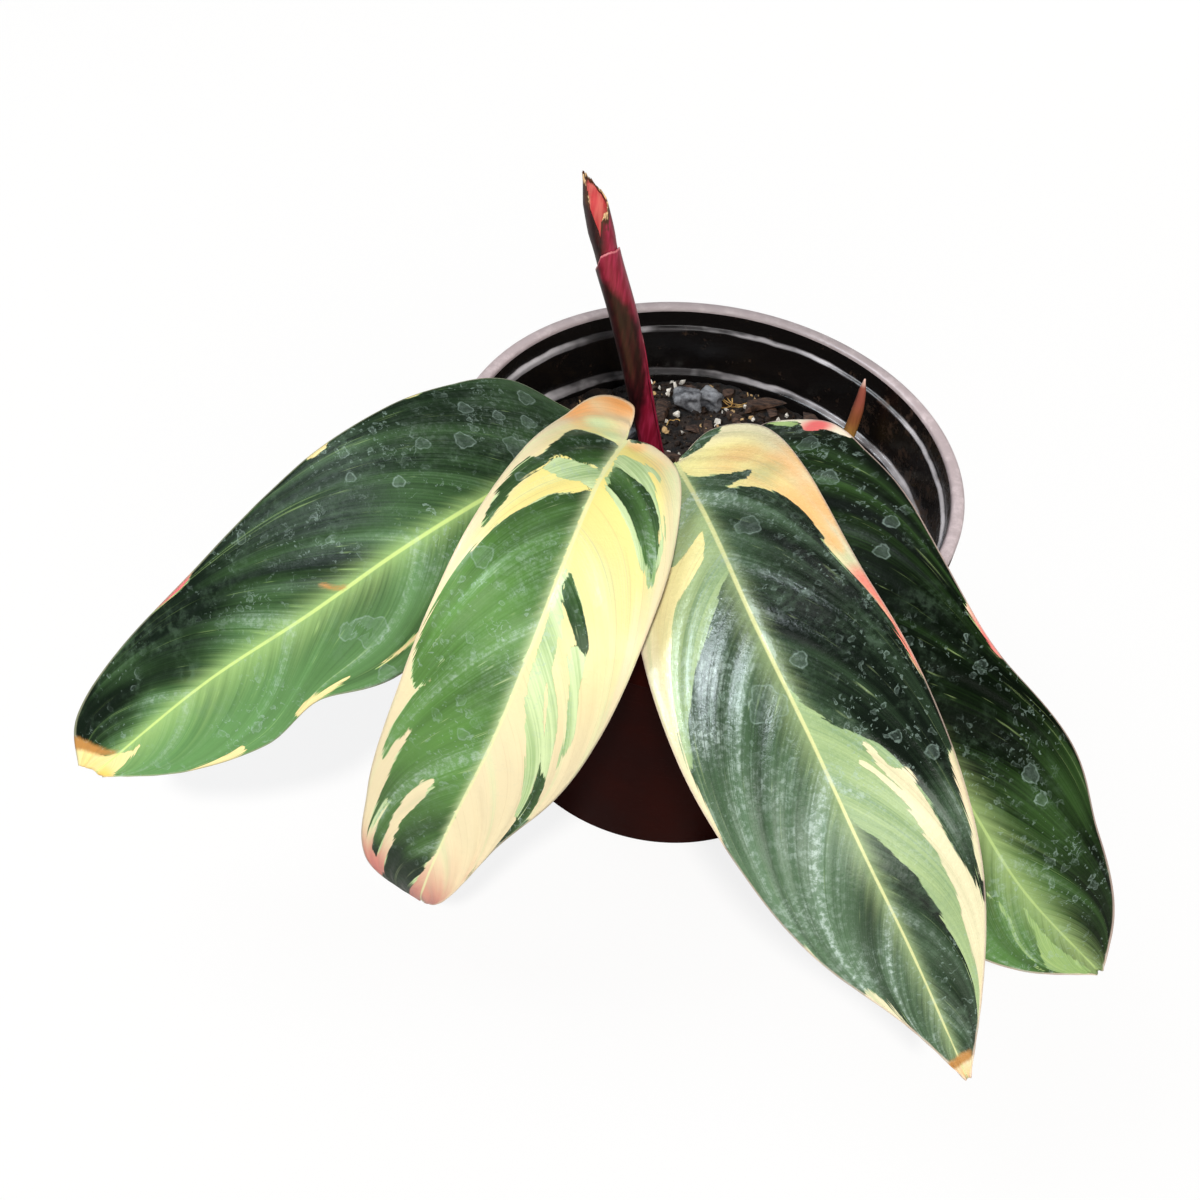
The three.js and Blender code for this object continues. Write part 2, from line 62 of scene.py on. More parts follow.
# The pot. Its two bands of painted highlight along the inner ledges and their soft edges are in
# metres, as the shader reads them.
POT = {
    "height": 120, "rim_radius": 76, "rim_inner": 72, "lip_depth": 7, "lip_under": 0.6,
    "collar_radius": 72.3, "collar_depth": 24, "collar_slope": 1.5,
    "shoulder_radius": 70, "base_radius": 57, "wall": 1.7, "floor": 2.4, "steps": 192,
    "foot_radius": 35, "hollow": 1.2, "slack": 0.1, "bend_pieces": 5, "most_bend": 0.48,
    "sharp_from": 38, "lip_top": 1.5, "collar_under": 0.5, "underside": 2.16,
    "ledge_glints": [(0.0952, 0.0968), (0.1118, 0.1134)], "glint_edge": 0.0007,
}
DRAIN = {"count": 8, "radius": 4.5, "ring": 45, "depth": 20, "sides": 40}
SOIL = {
    "level": 93, "mound": 2.5, "mound_radius": 30, "roughness": 1.1,
    "broad": (0.21, 0.17, 1.3), "fine": (0.31, 0.43, 2.0), "fine_share": 0.6,
    "floor": 2.7, "top_radius": 67.3, "bottom_radius": 54.6, "cells": 150, "wall_gap": 67.2,
}

# Clods and crumbs on the soil's level: (size, seed, dimension, lacunarity, height).
CLODS = [(9, 3.0, 0.9, 2.1, 0.9), (2.4, 9.0, 0.7, 2.2, 0.55)]
CLOD_OCTAVES = 3

# Where the stalks meet on the rhizome, and the blades' formula, as in the part's source.
CROWN = (-12, 11, 78)
BLADE = {
    "thickness": 0.5, "rows": 220, "columns": 84, "first": 0.012, "last": 0.992,
    "vein_start": 1.6, "vein_sweep": 1.3, "half_width": 32, "half_phase": 1.3, "crowding": 1.25,
}
VEINS = {"slant": (1.15, 0.75), "least_width": 6, "reach": 0.93, "before": 120, "past": 60, "samples": 200}

# The upper face's pleats as (height, length along the midrib, shift per leaf), how they drift to
# and fro and slant, how soon they rise from midrib and margin, and the groove over the midrib.
RELIEF = {
    "pleats": [(0.26, 16.3, 1.0), (0.08, 9.7, 2.3)], "drift": 2.2, "drift_length": 31, "slant": 1.4,
    "seeds": 17, "rise": 0.7, "groove": 0.3, "groove_width": 1.3, "groove_from": 1.2, "groove_to": 0.2,
}

# Stalks: radii from the foot up, where they hold by share of the free length, how foot, neck, joint
# and keel lie, and the stations where the keel follows the blade.
STALK = {
    "foot": 2.8, "neck": 2.0, "joint": 2.5, "keel": 1.5, "keel_end": 0.6,
    "neck_from": 0.45, "neck_to": 0.72, "joint_at": 0.9, "keel_at": 1.04,
    "foot_rise": 5, "neck_rise": 6, "neck_lean": 0.14, "joint_back": 5, "joint_drop": 7,
    "keel_share": 0.66, "keel_gap": 0.3, "stations": (4, 14, 26, 40, 56, 74, 94, 116),
    "last_step": 8, "sides": 20, "rings": 110, "samples": 1201,
}

# Each leaf as in the part's source: the midrib's course, each half's margin as (along, across) from
# base to tip, and in degrees at five stations the roll, each half's fold at the midrib and its curl.
LEAVES = {
    "leaf_back_left": {
        "foot": (-22, 12),
        "midrib": [(-33, -5, 127), (-47, -31, 135), (-63, -53, 138), (-80, -69, 133), (-100, -82, 120),
                   (-127, -92, 98), (-158, -104, 66)],
        "left": [(0, 0), (2, 12), (12, 28), (41, 37), (78, 38.5), (106, 36), (134, 28.5), (163, 23.5),
                 (187, 16), (194, 4)],
        "right": [(0, 0), (3, 5), (13, 12), (38, 20), (72, 24), (102, 27.5), (122, 20.5), (142, 23),
                  (166, 15.5), (190, 1)],
        "roll": (-10, -20, -22, -20, -18),
        "fold": {"left": (4, 2, 0, 0, 0), "right": (0, -10, -18, -12, -4)},
        "curl": {"left": (-12, -18, -18, -16, -10), "right": (-10, -20, -30, -24, -14)},
        "ripple": (0.9, 5, 0.4),
    },
    "leaf_front_left": {
        "foot": (-17, 4),
        "midrib": [(-25, -14, 134), (-31, -41, 141), (-37, -72, 139), (-42, -89, 126), (-49, -101, 102),
                   (-59, -108, 69), (-65, -112, 44), (-66, -106, 27)],
        "left": [(0, 0), (-21, 4), (-15, 15), (20, 21), (56, 25.5), (90, 28), (124, 27.5), (150, 25),
                 (174, 19.5), (190, 0)],
        "right": [(0, 0), (3, 9), (18, 20), (46, 25.5), (76, 26), (100, 25.5), (122, 22.5), (144, 14.5),
                  (168, 8), (190, 0)],
        "roll": (0, -8, -12, -8, 0),
        "fold": {"left": (8, 8, 8, 2, 0), "right": (14, 10, 0, -4, 0)},
        "curl": {"left": (-12, -12, -12, -14, -10), "right": (-10, -20, -36, -44, -30)},
        "ripple": (0.6, 4, 2.0),
    },
    "leaf_front_right": {
        "foot": (-8, 3),
        "midrib": [(-10, -13, 127), (0, -45, 135), (13, -80, 136), (28, -106, 128), (44, -126, 112),
                   (62, -139, 88), (84, -154, 55)],
        "left": [(0, 0), (0, 7), (12, 16), (38, 24), (67, 29.5), (100, 32), (131, 28), (158, 21),
                 (184, 8.5), (208, 0)],
        "right": [(0, 0), (-10, 14), (-5, 28), (24, 31), (62, 31.5), (96, 33), (127, 30.5), (156, 24),
                  (184, 12), (208, 0)],
        "roll": (8, 16, 22, 22, 18),
        "fold": {"left": (0, 0, 0, 0, 0), "right": (8, 4, 0, 0, 0)},
        "curl": {"left": (-12, -18, -18, -16, -10), "right": (-12, -18, -18, -16, -10)},
        "ripple": (0.7, 5, 3.6),
    },
    "leaf_back_right": {
        "foot": (-1, 10),
        "midrib": [(7, -1, 126), (16, -26, 133), (32, -58, 137), (51, -88, 128), (72, -107, 110),
                   (91, -117, 90), (121, -120, 60)],
        "left": [(0, 0), (0, 10), (10, 20), (36, 27), (72, 31), (106, 31), (136, 29), (162, 23),
                 (185, 13.5), (206, 0)],
        "right": [(0, 0), (-4, 13), (8, 26), (40, 30), (74, 27.5), (104, 28.5), (138, 32.5), (168, 25),
                  (192, 14), (206, 0)],
        "roll": (10, 18, 22, 22, 20),
        "fold": {"left": (6, 4, 0, 0, 0), "right": (6, 4, 0, 0, 0)},
        "curl": {"left": (-10, -14, -16, -16, -10), "right": (-12, -18, -18, -16, -10)},
        "ripple": (0.8, 5, 5.0),
    },
}

# Patches of each blade, painted in this order: cream, pale (light green), green or burn (dry brown).
PATCHES = {
    "leaf_back_left": [
        ("cream", [(79, 41), (80, 37.6), (86, 37.2), (88, 41)]),
        ("cream", [(134, 31), (136, 27.4), (140, 26.2), (147, 25.8), (152, 26.4), (152, 30)]),
        ("cream", [(40, 39), (43, 37), (48, 37.2), (49, 39)]),
        ("cream", [(112, -18.9), (123, -18.5), (129, -19.6), (129, -21.4), (122, -20.2), (112, -20.2)]),
        ("cream", [(148, -19.3), (154, -18.6), (165, -15.6), (167, -17), (158, -20.4), (149.5, -21)]),
        ("cream", [(88, -20.2), (94, -20.9), (103, -21.5), (103.6, -22.3), (96, -22.2), (89, -21.2)]),
        ("cream", [(172, -2), (176, -1.6), (181, 0.8), (184, 2), (188, 7), (191, 11), (200, 10),
                   (200, -6), (189, -6), (184, -3.4), (178, -3.2)]),
        ("burn", [(179, 0.4), (183, 4), (187, 9), (191, 13), (194, 10.4), (190, 7.4), (186, 3.4),
                  (182, 1)]),
        ("burn", [(96.4, 0.4), (99, 2), (101, 4.2), (103, 5.2), (102.4, 3.6), (100, 1.2), (98.6, 0.2)]),
    ],
    "leaf_front_left": [
        ("cream", [(-30, -2), (-30, 24), (60, 34), (120, 34), (178, 30), (196, 20), (182, 14),
                   (171, 16), (163, 20.8), (140, 21.5), (128, 22.5), (136, 24.5), (120, 25.5),
                   (106, 25), (97, 27), (82, 26.8), (70, 24.6), (62, 21.6), (54, 18.6), (47, 14),
                   (41, 10.6), (37.5, 6), (34, 2.5), (28, 0), (0, 0)]),
        ("green", [(6.8, -0.5), (6, 6), (7.2, 11.6), (10.5, 14.2), (20, 15.6), (28, 17.4), (30, 19.4),
                   (36, 21.4), (46, 22.9), (58.5, 22.7), (50, 20.4), (40, 18.4), (32, 15), (25.4, 13.2),
                   (24.6, 7.5), (22.4, 3.4), (24, -0.5)]),
        ("pale", [(24, 0), (23.6, 4), (25.4, 9), (26.4, 12.6), (32, 14.8), (33, 11), (32, 6), (32, 1.4),
                  (30, 0)]),
        ("cream", [(94, 19.4), (100, 20.6), (106, 23.6), (104, 25.4), (112, 26), (124, 26), (108, 23.6),
                   (102, 20.8)]),
        ("cream", [(118, 20.4), (124, 22), (130, 23.4), (152, 23.6), (165, 21.5), (150, 21.2),
                   (134, 21)]),
        ("cream", [(147, 18.4), (156, 19.8), (167, 20.5), (172, 18), (160, 18.8)]),
        ("cream", [(131, 9.3), (134, 12.2), (143, 14.2), (152, 15.6), (164, 15.8), (178, 16), (182, 13),
                   (170, 12.9), (158, 13.2), (148, 11.8), (140, 9.8)]),
        ("cream", [(5, 0.5), (2, -2), (4, -12), (18, -24), (46, -30), (100, -30), (150, -20), (200, -8),
                   (200, 2), (178, 3.6), (160, 1.4), (140, 0)]),
        ("pale", [(12, -1.4), (20, -1.6), (29, -2), (33, -5), (38, -8.6), (44, -13.2), (50, -16.8),
                  (57, -21.6), (56, -23), (46, -22.6), (34, -19.9), (24, -15.8), (18, -13.8),
                  (14.4, -8)]),
        ("cream", [(19.4, -11.6), (26, -15.2), (35, -18.8), (44, -21), (36, -20.4), (27, -17),
                   (21, -14)]),
        ("green", [(19.6, -2), (28, -2.8), (32, -6.4), (38, -11), (46, -16), (52, -19.8), (54.8, -22),
                   (46, -21), (38, -19.4), (31, -16.2), (25.6, -11.6), (22, -6.6)]),
        ("pale", [(60, -1.2), (66, -0.8), (78, -1.6), (90, -2.4), (100, -5.4), (112, -9.8),
                  (124, -13.2), (131, -14.2), (131, -15.8), (120, -15), (108, -12.8), (99, -9.6),
                  (90, -7), (82, -6.4), (74, -5), (67, -3)]),
        ("pale", [(78, -9.6), (84, -11.4), (92, -13.4), (102, -16.4), (113, -18.3), (104, -18.6),
                  (94, -17), (86, -14.6), (79, -13.6)]),
        ("pale", [(84, -5.6), (96, -9.6), (108, -13), (120, -15.4), (116, -16.6), (104, -14.6),
                  (94, -11.6)]),
        ("green", [(61, -2.2), (67, -2.4), (71, -5.2), (75, -8.8), (78.2, -11.4), (78, -13.6),
                   (73, -11.4), (67.6, -7.6), (64, -4.6)]),
        ("green", [(105, -11.8), (112, -13.6), (120, -15), (130, -15.3), (140, -14.5), (150, -12.6),
                   (160, -10), (153, -13.6), (145, -16.2), (136, -18.2), (119, -17.6), (113, -15.2)]),
    ],
    "leaf_front_right": [
        ("cream", [(36, 2.4), (41, 3.4), (46, 5.6), (50, 9), (54, 13.4), (59, 17.6), (66, 20.8),
                   (74, 24.4), (84, 27.4), (97, 30), (121, 30), (121, 36), (60, 36), (20, 24), (20, 12),
                   (30, 7)]),
        ("pale", [(2, 0), (2, 12), (20, 20), (38, 25), (40, 18), (44.6, 14.6), (44, 11.4), (40, 7),
                  (36, 2.6), (36, 0)]),
        ("pale", [(35, -0.4), (52, 0.4), (57, 3.6), (62, 7), (68, 11), (74, 16), (80, 20.4), (88, 25.4),
                  (98, 29), (97, 30), (84, 27.4), (74, 24.4), (66, 20.8), (59, 17.6), (54, 13.4),
                  (50, 9), (46, 5.6), (41, 3.4), (36, 2.4)]),
        ("cream", [(150, 23.4), (154, 22), (158, 21.4), (158, 25)]),
        ("cream", [(169, 14), (174, 11.2), (183, 8.8), (190, 9), (176, 15)]),
        ("cream", [(0, -0.5), (7, -0.8), (11, -2.8), (13.4, -7), (15.4, -12.6), (18, -17.2),
                   (20.6, -15.4), (21.6, -9.6), (23.2, -9.8), (25, -14), (27.5, -17.4), (32, -21.2),
                   (40, -24.5), (51, -26), (52, -25.4), (62, -27.4), (72, -30), (84, -31.9),
                   (100, -32.4), (100, -36), (20, -36), (-8, -34), (-16, -20), (-9, -13), (-6, -9),
                   (-2, -4)]),
        ("green", [(-1, -2), (-4, -6), (-9, -11), (-12, -17.4), (-8, -15.6), (-4, -11), (-1.6, -6)]),
        ("cream", [(120, -36), (121, -30.4), (123, -29), (130, -28), (142, -26.2), (156, -23),
                   (152, -30)]),
        ("pale", [(90, -0.4), (95, -1.6), (103, -6.4), (106, -9.4), (109, -12), (112, -14.8),
                  (118, -17.6), (128, -19.8), (142, -20.3), (152, -20.8), (160, -20.6), (170, -19),
                  (186, -14), (200, -6), (208, -2), (200, -4.4), (188, -9.4), (178, -10.6),
                  (165, -10.8), (152, -10), (142, -7.8), (133, -4.6), (128, -1.8), (122, -0.5)]),
        ("cream", [(114, -8), (117, -10.4), (124, -13), (132, -14.6), (146, -15.8), (157, -15.8),
                   (168, -14), (180, -12.4), (192, -8), (202, -3.6), (200, -8), (180, -18), (168, -21),
                   (160, -21.6), (150, -20.7), (140, -19.8), (128, -19.2), (120, -18), (118, -14.6),
                   (111, -12.6), (110, -11), (117, -12.4), (124, -14.8), (128, -15.4), (121, -12.8),
                   (115, -10)]),
        ("cream", [(200, 4), (200.6, -4), (212, -4), (212, 4)]),
        ("burn", [(197.6, -3), (199, 3.6), (201.6, 3.6), (200.8, -3)]),
    ],
    "leaf_back_right": [
        ("cream", [(-9, -6), (-5, -12), (-2, -15.6), (0, -18.4), (2, -19.4), (7, -18.8), (10, -21),
                   (12, -24), (21, -28.6), (10, -32), (-8, -24)]),
        ("pale", [(-4, -11), (-2, -13), (2, -16.5), (2.4, -18.6), (0, -17.8), (-3, -14)]),
        ("cream", [(87, -26.8), (92, -26.8), (98, -27.2), (106, -28), (108, -32), (86, -31)]),
        ("pale", [(166, 2.6), (176, 5), (184, 8), (191, 8.8), (198, 5), (202, 1.6), (192, 2.6),
                  (182, 3.4)]),
        ("pale", [(156, 8.1), (160, 7.5), (167, 7.7), (173, 9.6), (181, 10.5), (189, 10.7), (181, 9.9),
                  (174, 9), (167, 7), (160, 6.9)]),
    ],
}


def tone(red, green, blue):
    """A colour as a screen shows it, 0 to 255, as the linear values that a shader takes."""
    scaled = [value / 255 for value in (red, green, blue)]
    linear = [v / 12.92 if v <= 0.04045 else ((v + 0.055) / 1.055) ** 2.4 for v in scaled]
    return (*linear, 1.0)


# Colours of each blade: its deep and its lighter green, the light green of the pale patches and of
# the midrib's glow, the cream of its base and the milkier one of its tip, the two blushes (orange and
# rose), the midrib and the thin margin. The glow's width is given on either half at five stations.
# The dust's strength also sets how much painted glare lies on the green.
PALETTES = {
    "leaf_back_left": {
        "deep": tone(8, 22, 10), "leaf": tone(98, 142, 86), "pale": tone(168, 202, 128),
        "cream": tone(236, 224, 180), "milk": tone(238, 218, 158), "blush": tone(240, 196, 96),
        "rose": tone(222, 112, 120), "rib": tone(200, 222, 136), "edge": tone(178, 182, 150),
        "glow": {"left": (3, 4, 6, 5, 2.5), "right": (4, 6, 8, 10, 7)},
        "rough": 0.42, "shine": 0.14, "film": 0.22, "dust": 0.35,
    },
    "leaf_front_left": {
        "deep": tone(14, 36, 14), "leaf": tone(96, 144, 68), "pale": tone(206, 224, 172),
        "cream": tone(236, 222, 134), "milk": tone(226, 212, 174), "blush": tone(240, 168, 100),
        "rose": tone(202, 120, 112), "rib": tone(222, 224, 170), "edge": tone(234, 218, 188),
        "glow": {"left": (3, 3, 3, 2, 1), "right": (3, 2, 2, 1, 1)},
        "rough": 0.3, "shine": 0.45, "film": 0.12, "dust": 0.45,
    },
    "leaf_front_right": {
        "deep": tone(8, 18, 9), "leaf": tone(96, 130, 94), "pale": tone(162, 184, 132),
        "cream": tone(236, 228, 158), "milk": tone(220, 214, 178), "blush": tone(242, 188, 124),
        "rose": tone(234, 136, 120), "rib": tone(218, 220, 158), "edge": tone(236, 212, 196),
        "glow": {"left": (4, 7, 7, 5, 3), "right": (3, 4, 5, 3, 2)},
        "rough": 0.22, "shine": 0.5, "film": 0.22, "dust": 0.8,
    },
    "leaf_back_right": {
        "deep": tone(5, 13, 4), "leaf": tone(88, 132, 66), "pale": tone(162, 188, 122),
        "cream": tone(244, 228, 190), "milk": tone(238, 234, 210), "blush": tone(240, 170, 120),
        "rose": tone(236, 112, 112), "rib": tone(168, 192, 122), "edge": tone(240, 214, 202),
        "glow": {"left": (6, 7, 8, 10, 8), "right": (3, 3, 4, 8, 4)},
        "rough": 0.4, "shine": 0.13, "film": 0.12, "dust": 0.35,
    },
}

NOT_COLOURS = ("glow", "rough", "shine", "film", "dust")

# Where the cream turns to a blush colour: (along, out, reach, strength); below 0 it is the rose one.
BLUSHES = {
    "leaf_back_left": [(142, 27, 14, -1.0), (196, 2, 16, 0.5), (188, -3, 4, 1.0)],
    "leaf_front_left": [(-22, 8, 15, 1.0), (-4, 18, 11, 1.0), (12, -15, 9, 0.4), (60, -27, 20, 0.25),
                        (178, 18, 16, -0.9), (182, 0, 22, -0.8), (4, -4, 5, 0.5), (160, -10, 14, -0.3)],
    "leaf_front_right": [(8, -17, 10, 0.75), (20, -26, 14, 0.85), (38, -28, 16, 1.0),
                         (53, -27, 9, 0.95), (72, -31, 15, -0.95), (90, -33, 16, -0.9),
                         (8, -27, 10, 0.35), (190, -16, 20, 0.35), (112, 31, 30, 0.3),
                         (130, -30, 20, -0.25), (206, 1, 6, 0.8)],
    "leaf_back_right": [(8, -22, 6, -1.0), (98, -28, 14, -0.8), (30, -31, 18, -0.4)],
}

# Where the cream fades to light green, and where dust and painted glare lie on the green:
# (along, out, reach, strength).
FADES = {
    "leaf_back_left": [(76, -9, 7, 0.8), (28, 18, 16, 0.35), (54, 24, 10, 0.3)],
    "leaf_front_left": [(-1, 9, 6.5, 0.8), (3, 4, 5, 0.8), (14, -20, 8, 0.5), (60, -12, 12, 0.4),
                        (30, 16, 8, 0.3), (62, 7, 11, 0.45), (92, 6, 11, 0.45)],
    "leaf_front_right": [(20, -22, 7, 0.6), (42, 8, 7, 0.3), (62, 21, 9, 0.35), (138, -15, 9, 0.35),
                         (66, 9, 6, 0.5), (79, 17, 7, 1.0), (92, 24, 6, 1.0), (111, 14, 7, 0.6),
                         (125, 14, 6, 0.6), (142, 20, 8, 0.7), (163, 14, 9, 0.6)],
    "leaf_back_right": [(2, -14, 7, 0.5), (166, 10, 10, 0.6), (150, 9, 8, 0.4)],
}

# How light the green is: (along, out, reach, lightness from 0 to 1).
SHADES = {
    "leaf_back_left": [(10, 25, 20, 0.25), (40, 22, 25, 0.15), (75, 25, 25, 0.15), (110, 24, 22, 0.08),
                       (145, 14, 16, -0.2), (168, 21, 8, 0.25), (172, 9, 8, -0.25), (184, 12, 8, -0.2),
                       (70, 6, 12, 0.45), (120, 6, 10, 0.4), (48, -15, 12, 0.8), (74, -10, 12, 0.95),
                       (104, -18, 14, 0.7), (130, -8, 16, 0.9), (155, -10, 18, 1.0), (175, -8, 14, 1.0)],
    "leaf_front_left": [(14, 10, 10, 0.12), (20, 3, 6, 0.5), (45, 22, 12, 0.25), (50, 10, 14, 0.5),
                        (75, 12, 16, 0.7), (80, 19, 8, 0.85), (100, 14, 14, 0.55), (120, 14, 18, 0.8),
                        (145, 10, 14, 0.45), (158, 17, 8, 0.5), (172, 9, 10, -0.3), (182, 8, 12, -0.4),
                        (30, -8, 14, 0.15), (50, -20, 8, 0.45), (70, -8, 8, 0.15), (120, -16, 14, 0.3),
                        (150, -14, 10, 0.0)],
    "leaf_front_right": [(30, 10, 20, 0.85), (60, 10, 14, 0.5), (80, 16, 16, 0.2), (90, 6, 12, 0.5),
                         (110, 14, 18, 0.45), (135, 16, 16, 0.65), (150, 6, 14, 0.6),
                         (175, 5, 14, 0.65), (30, -14, 18, 0.0), (60, -6, 12, 0.1),
                         (75, -18, 22, -0.05), (110, -22, 12, 0.0), (140, -24, 10, 0.35),
                         (160, 14, 12, 0.7), (190, 4, 8, 0.6), (150, -5, 16, 0.0), (180, -6, 18, 0.0),
                         (-6, -10, 8, 0.45)],
    "leaf_back_right": [(20, -10, 24, 0.1), (60, -15, 26, 0.0), (100, -18, 20, -0.1),
                        (125, -18, 16, 0.0), (145, -24, 12, 0.25), (150, -8, 14, 0.2),
                        (180, -12, 16, 0.0), (195, -8, 12, 0.1), (170, 15, 14, 0.9), (150, 6, 14, 0.6),
                        (175, 4, 14, 0.6)],
}

# Large water marks on each blade: (along, out, radius).
RINGS = {
    "leaf_back_left": [(99, -12.6, 4.2), (104, -9.4, 2.2), (103, -25, 2.4), (46, 17, 2.8), (33, 8, 3.8),
                       (22, 13, 2.4), (57, 22, 2.0), (80, 25, 1.4), (36, 26, 2.2), (14, 20, 2.6),
                       (29, 19, 1.8), (70, 16, 1.6)],
    "leaf_front_left": [(65, 19.6, 2.6), (112, 7.6, 1.6), (38, 19, 1.6)],
    "leaf_front_right": [(26, -8, 2.6), (40, -9, 3.2), (85, -6, 2), (92, 6, 4.6), (119, -26, 1.8),
                         (123, 7.6, 2.6), (88, 12, 1.8)],
    "leaf_back_right": [(24, 9, 2.8), (34, -15, 2.8), (117, 1, 1.6), (137, -18, 2.4), (144, -17, 1.8),
                        (65, -14, 2), (16, -17, 3), (58, -21, 2)],
}

# A large water mark's outline wobbles: (bumps round it, share of the radius, shift by its radius).
RING_WOBBLE = [(3, 0.14, 1), (7, 0.09, 0)]
FAR = 40.0                       # a distance that stands for being nowhere near
LEAST_GLOW = 0.5                 # width of the midrib's glow where there is next to none
LEAST_WEIGHT = 1e-6              # weight of a shade's spot far away from it

# Noise in object coordinates: (waves per metre, octaves, roughness of the octaves).
GRAINS = {
    "broken rings": (800.0, 2.0), "squiggle": (420.0, 3.0), "squiggles part": (190.0, 2.0),
    "marks part": (42.0, 3.0), "film cloud": (80.0, 4.0, 0.62), "film grain": (380.0, 5.0, 0.68),
    "scuff": (620.0, 4.0, 0.7), "crinkle": (420.0, 5.0, 0.65),
    "petiole streak": (900.0, 2.0), "petiole blotch": (120.0, 3.0), "roll cloud": (260.0, 3.0),
    "roll skin": (1100.0, 2.0), "roll lining": (900.0, 2.0), "sprout streak": (1200.0, 2.0),
    "pot dust": (130.0, 8.0, 0.75), "pot wave": (90.0, 2.0), "ledge glint breaks": (34.0, 4.0),
    "pot dimple": (500.0, 3.0), "lip scuff": (240.0, 6.0, 0.7), "pot cloud": (40.0, 4.0),
    "pot scratch": (260.0, 5.0, 0.7), "clod": (220.0, 8.0, 0.7), "grit": (1400.0, 4.0, 0.7),
    "rare crumb": (260.0, 2.0), "rhizome": (300.0, 5.0),
}

# Noise in streaks that follow the side veins: waves per millimetre along the midrib and across it,
# octaves, and strength.
STREAKS = {
    "teeth": (0.42, 0.035, 2.0, 3.0), "fray": (1.9, 1.2, 3.0, 0.8), "fringe": (0.22, 0.07, 2.0, 2.4),
    "bands": (0.075, 0.01, 2.0, 1.5), "fine": (1.2, 0.035, 2.0, 1.0), "clouds": (0.07, 0.07, 4.0, 0.9),
    "feather": (0.4, 0.03, 2.0, 1.2), "lines": (0.5, 0.03, 1.0, 1.0), "breaks": (0.3, 0.16, 2.0, 1.0),
    "wild": (0.06, 0.06, 2.0, 0.5),
}

# What unsettles the markings: how much of each kind of streak is added to a value.
UNSETTLED = {
    "burn": {"fray": 1.0}, "light": {"bands": 0.3, "fine": 0.17, "clouds": 0.28},
    "glow": {"feather": 0.22, "fine": 0.08}, "veined": {"fine": 1.0, "bands": 1.0, "clouds": 0.9},
    "border": {"bands": 2.0}, "milky": {"bands": 1.0, "fine": 0.5}, "rosy": {"clouds": 0.3},
    "faded": {"bands": 0.3, "fine": 0.2}, "tan": {"fine": 1.0}, "margin": {"fray": 0.12},
    "streaky": {"bands": 1.0, "fine": 0.4}, "thick dust and glare": {"fine": 1.0, "bands": 0.5},
    "uneven": {"bands": 1.0, "clouds": 2.0},
}

# Soft masks: the value where each starts, the value where it is full, and what it is when full if
# that isn't 1. Where the first value is the larger one, the mask rises as the value falls.
LIMITS = {
    "patch": (-0.12, 0.12), "halo": (-0.05, 0.3), "burn": (-0.5, 1.0), "light": (-0.1, 1.1),
    "glow": (0.25, 1.15, 0.7), "wild": (-0.08, 0.18), "margin": (0.45, 0.15, 0.6),
    "rib": (1.3, 0.6, 0.8), "milky": (0.05, 0.5, 0.38), "tip": (20.0, 120.0), "border": (9.0, 1.0),
    "line": (0.1, 0.02, 0.42), "line part": (0.2, 0.5), "veined": (-0.7, 1.4), "warm": (0.1, 1.1),
    "rosy": (0.05, 0.95), "faded": (0.15, 1.0), "tan": (0.05, 0.7, 0.4),
    # The last masks on the next line place dust and painted glare on the leaves.
    "streaky": (0.0, 0.6), "dusty": (0.1, 0.5), "thick dust and glare": (-0.6, 0.3),
    "squiggle": (0.022, 0.006, 0.8), "squiggles part": (0.56, 0.64), "marks part": (0.4, 0.62),
    "film cloud": (0.46, 0.7), "film grain": (0.42, 0.64), "scuff": (0.42, 0.66),
    "ring line": (0.4, 0.05), "ring veil": (0.0, -0.3, 0.32), "two tones": (0.35, 0.7),
    "dark side": (0.2, 0.8), "rightward": (0.02, 0.07, 0.12), "pot dust": (0.6, 0.76),
    "wide band": (0.0, -0.05, 0.0014), "lip scuff": (0.42, 0.76), "pot scratch": (0.58, 0.8),
}

# Straight scales: the values from which and to which, and what those become.
SPANS = {
    "long teeth": (0.0, 1.0, 0.22, 0.8), "uneven blush": (0.0, 0.4, 0.0, 0.25),
    "rib width": (0.0, 190.0, 0.75, 0.25), "broken rings": (0.4, 0.62, 0.25, 1.0),
    "off the cream": (0.0, 1.0, 1.0, 0.2), "broken mark": (0.0, 1.0, 0.5, 1.0),
    "broken dust and glare": (0.0, 1.0, 0.15, 1.0), "wavy band": (0.3, 0.7, -0.0004, 0.0004),
    "ledge glint share": (0.4, 0.6, 0.08, 1.0),
}

# Coats of colour: where each starts and is full, how much it covers then, and its colour.
COATS = {
    "wine": (-0.3, 0.4, 1.0, tone(122, 28, 54)), "blotch": (0.5, 0.75, 0.4, tone(120, 84, 52)),
    "lit edge": (0.7, 0.2, 0.6, tone(222, 140, 146)),
    "sprout mid": (0.097, 0.107, 1.0, tone(150, 88, 52)),
    "sprout top": (0.106, 0.114, 1.0, tone(166, 90, 74)),
    "sprout streak": (0.4, 0.7, 0.35, tone(112, 58, 40)),
    "sprout tip": (0.1185, 0.1205, 1.0, tone(232, 190, 176)),
    # The behind coat on the next line is painted shade that darkens the lip at the back.
    "behind": (0.03, 0.07, 0.5, tone(118, 114, 116)), "pot body": (0.3, 0.7, 1.0, tone(40, 8, 4)),
    # The next coat is painted light on the pot's outer lip band.
    "painted lit lip face": (0.1112, 0.1134, 1.0, tone(92, 60, 54)),
    "peat clod": (0.38, 0.68, 1.0, tone(50, 38, 30)), "peat grit": (0.6, 0.74, 1.0, tone(112, 90, 70)),
}
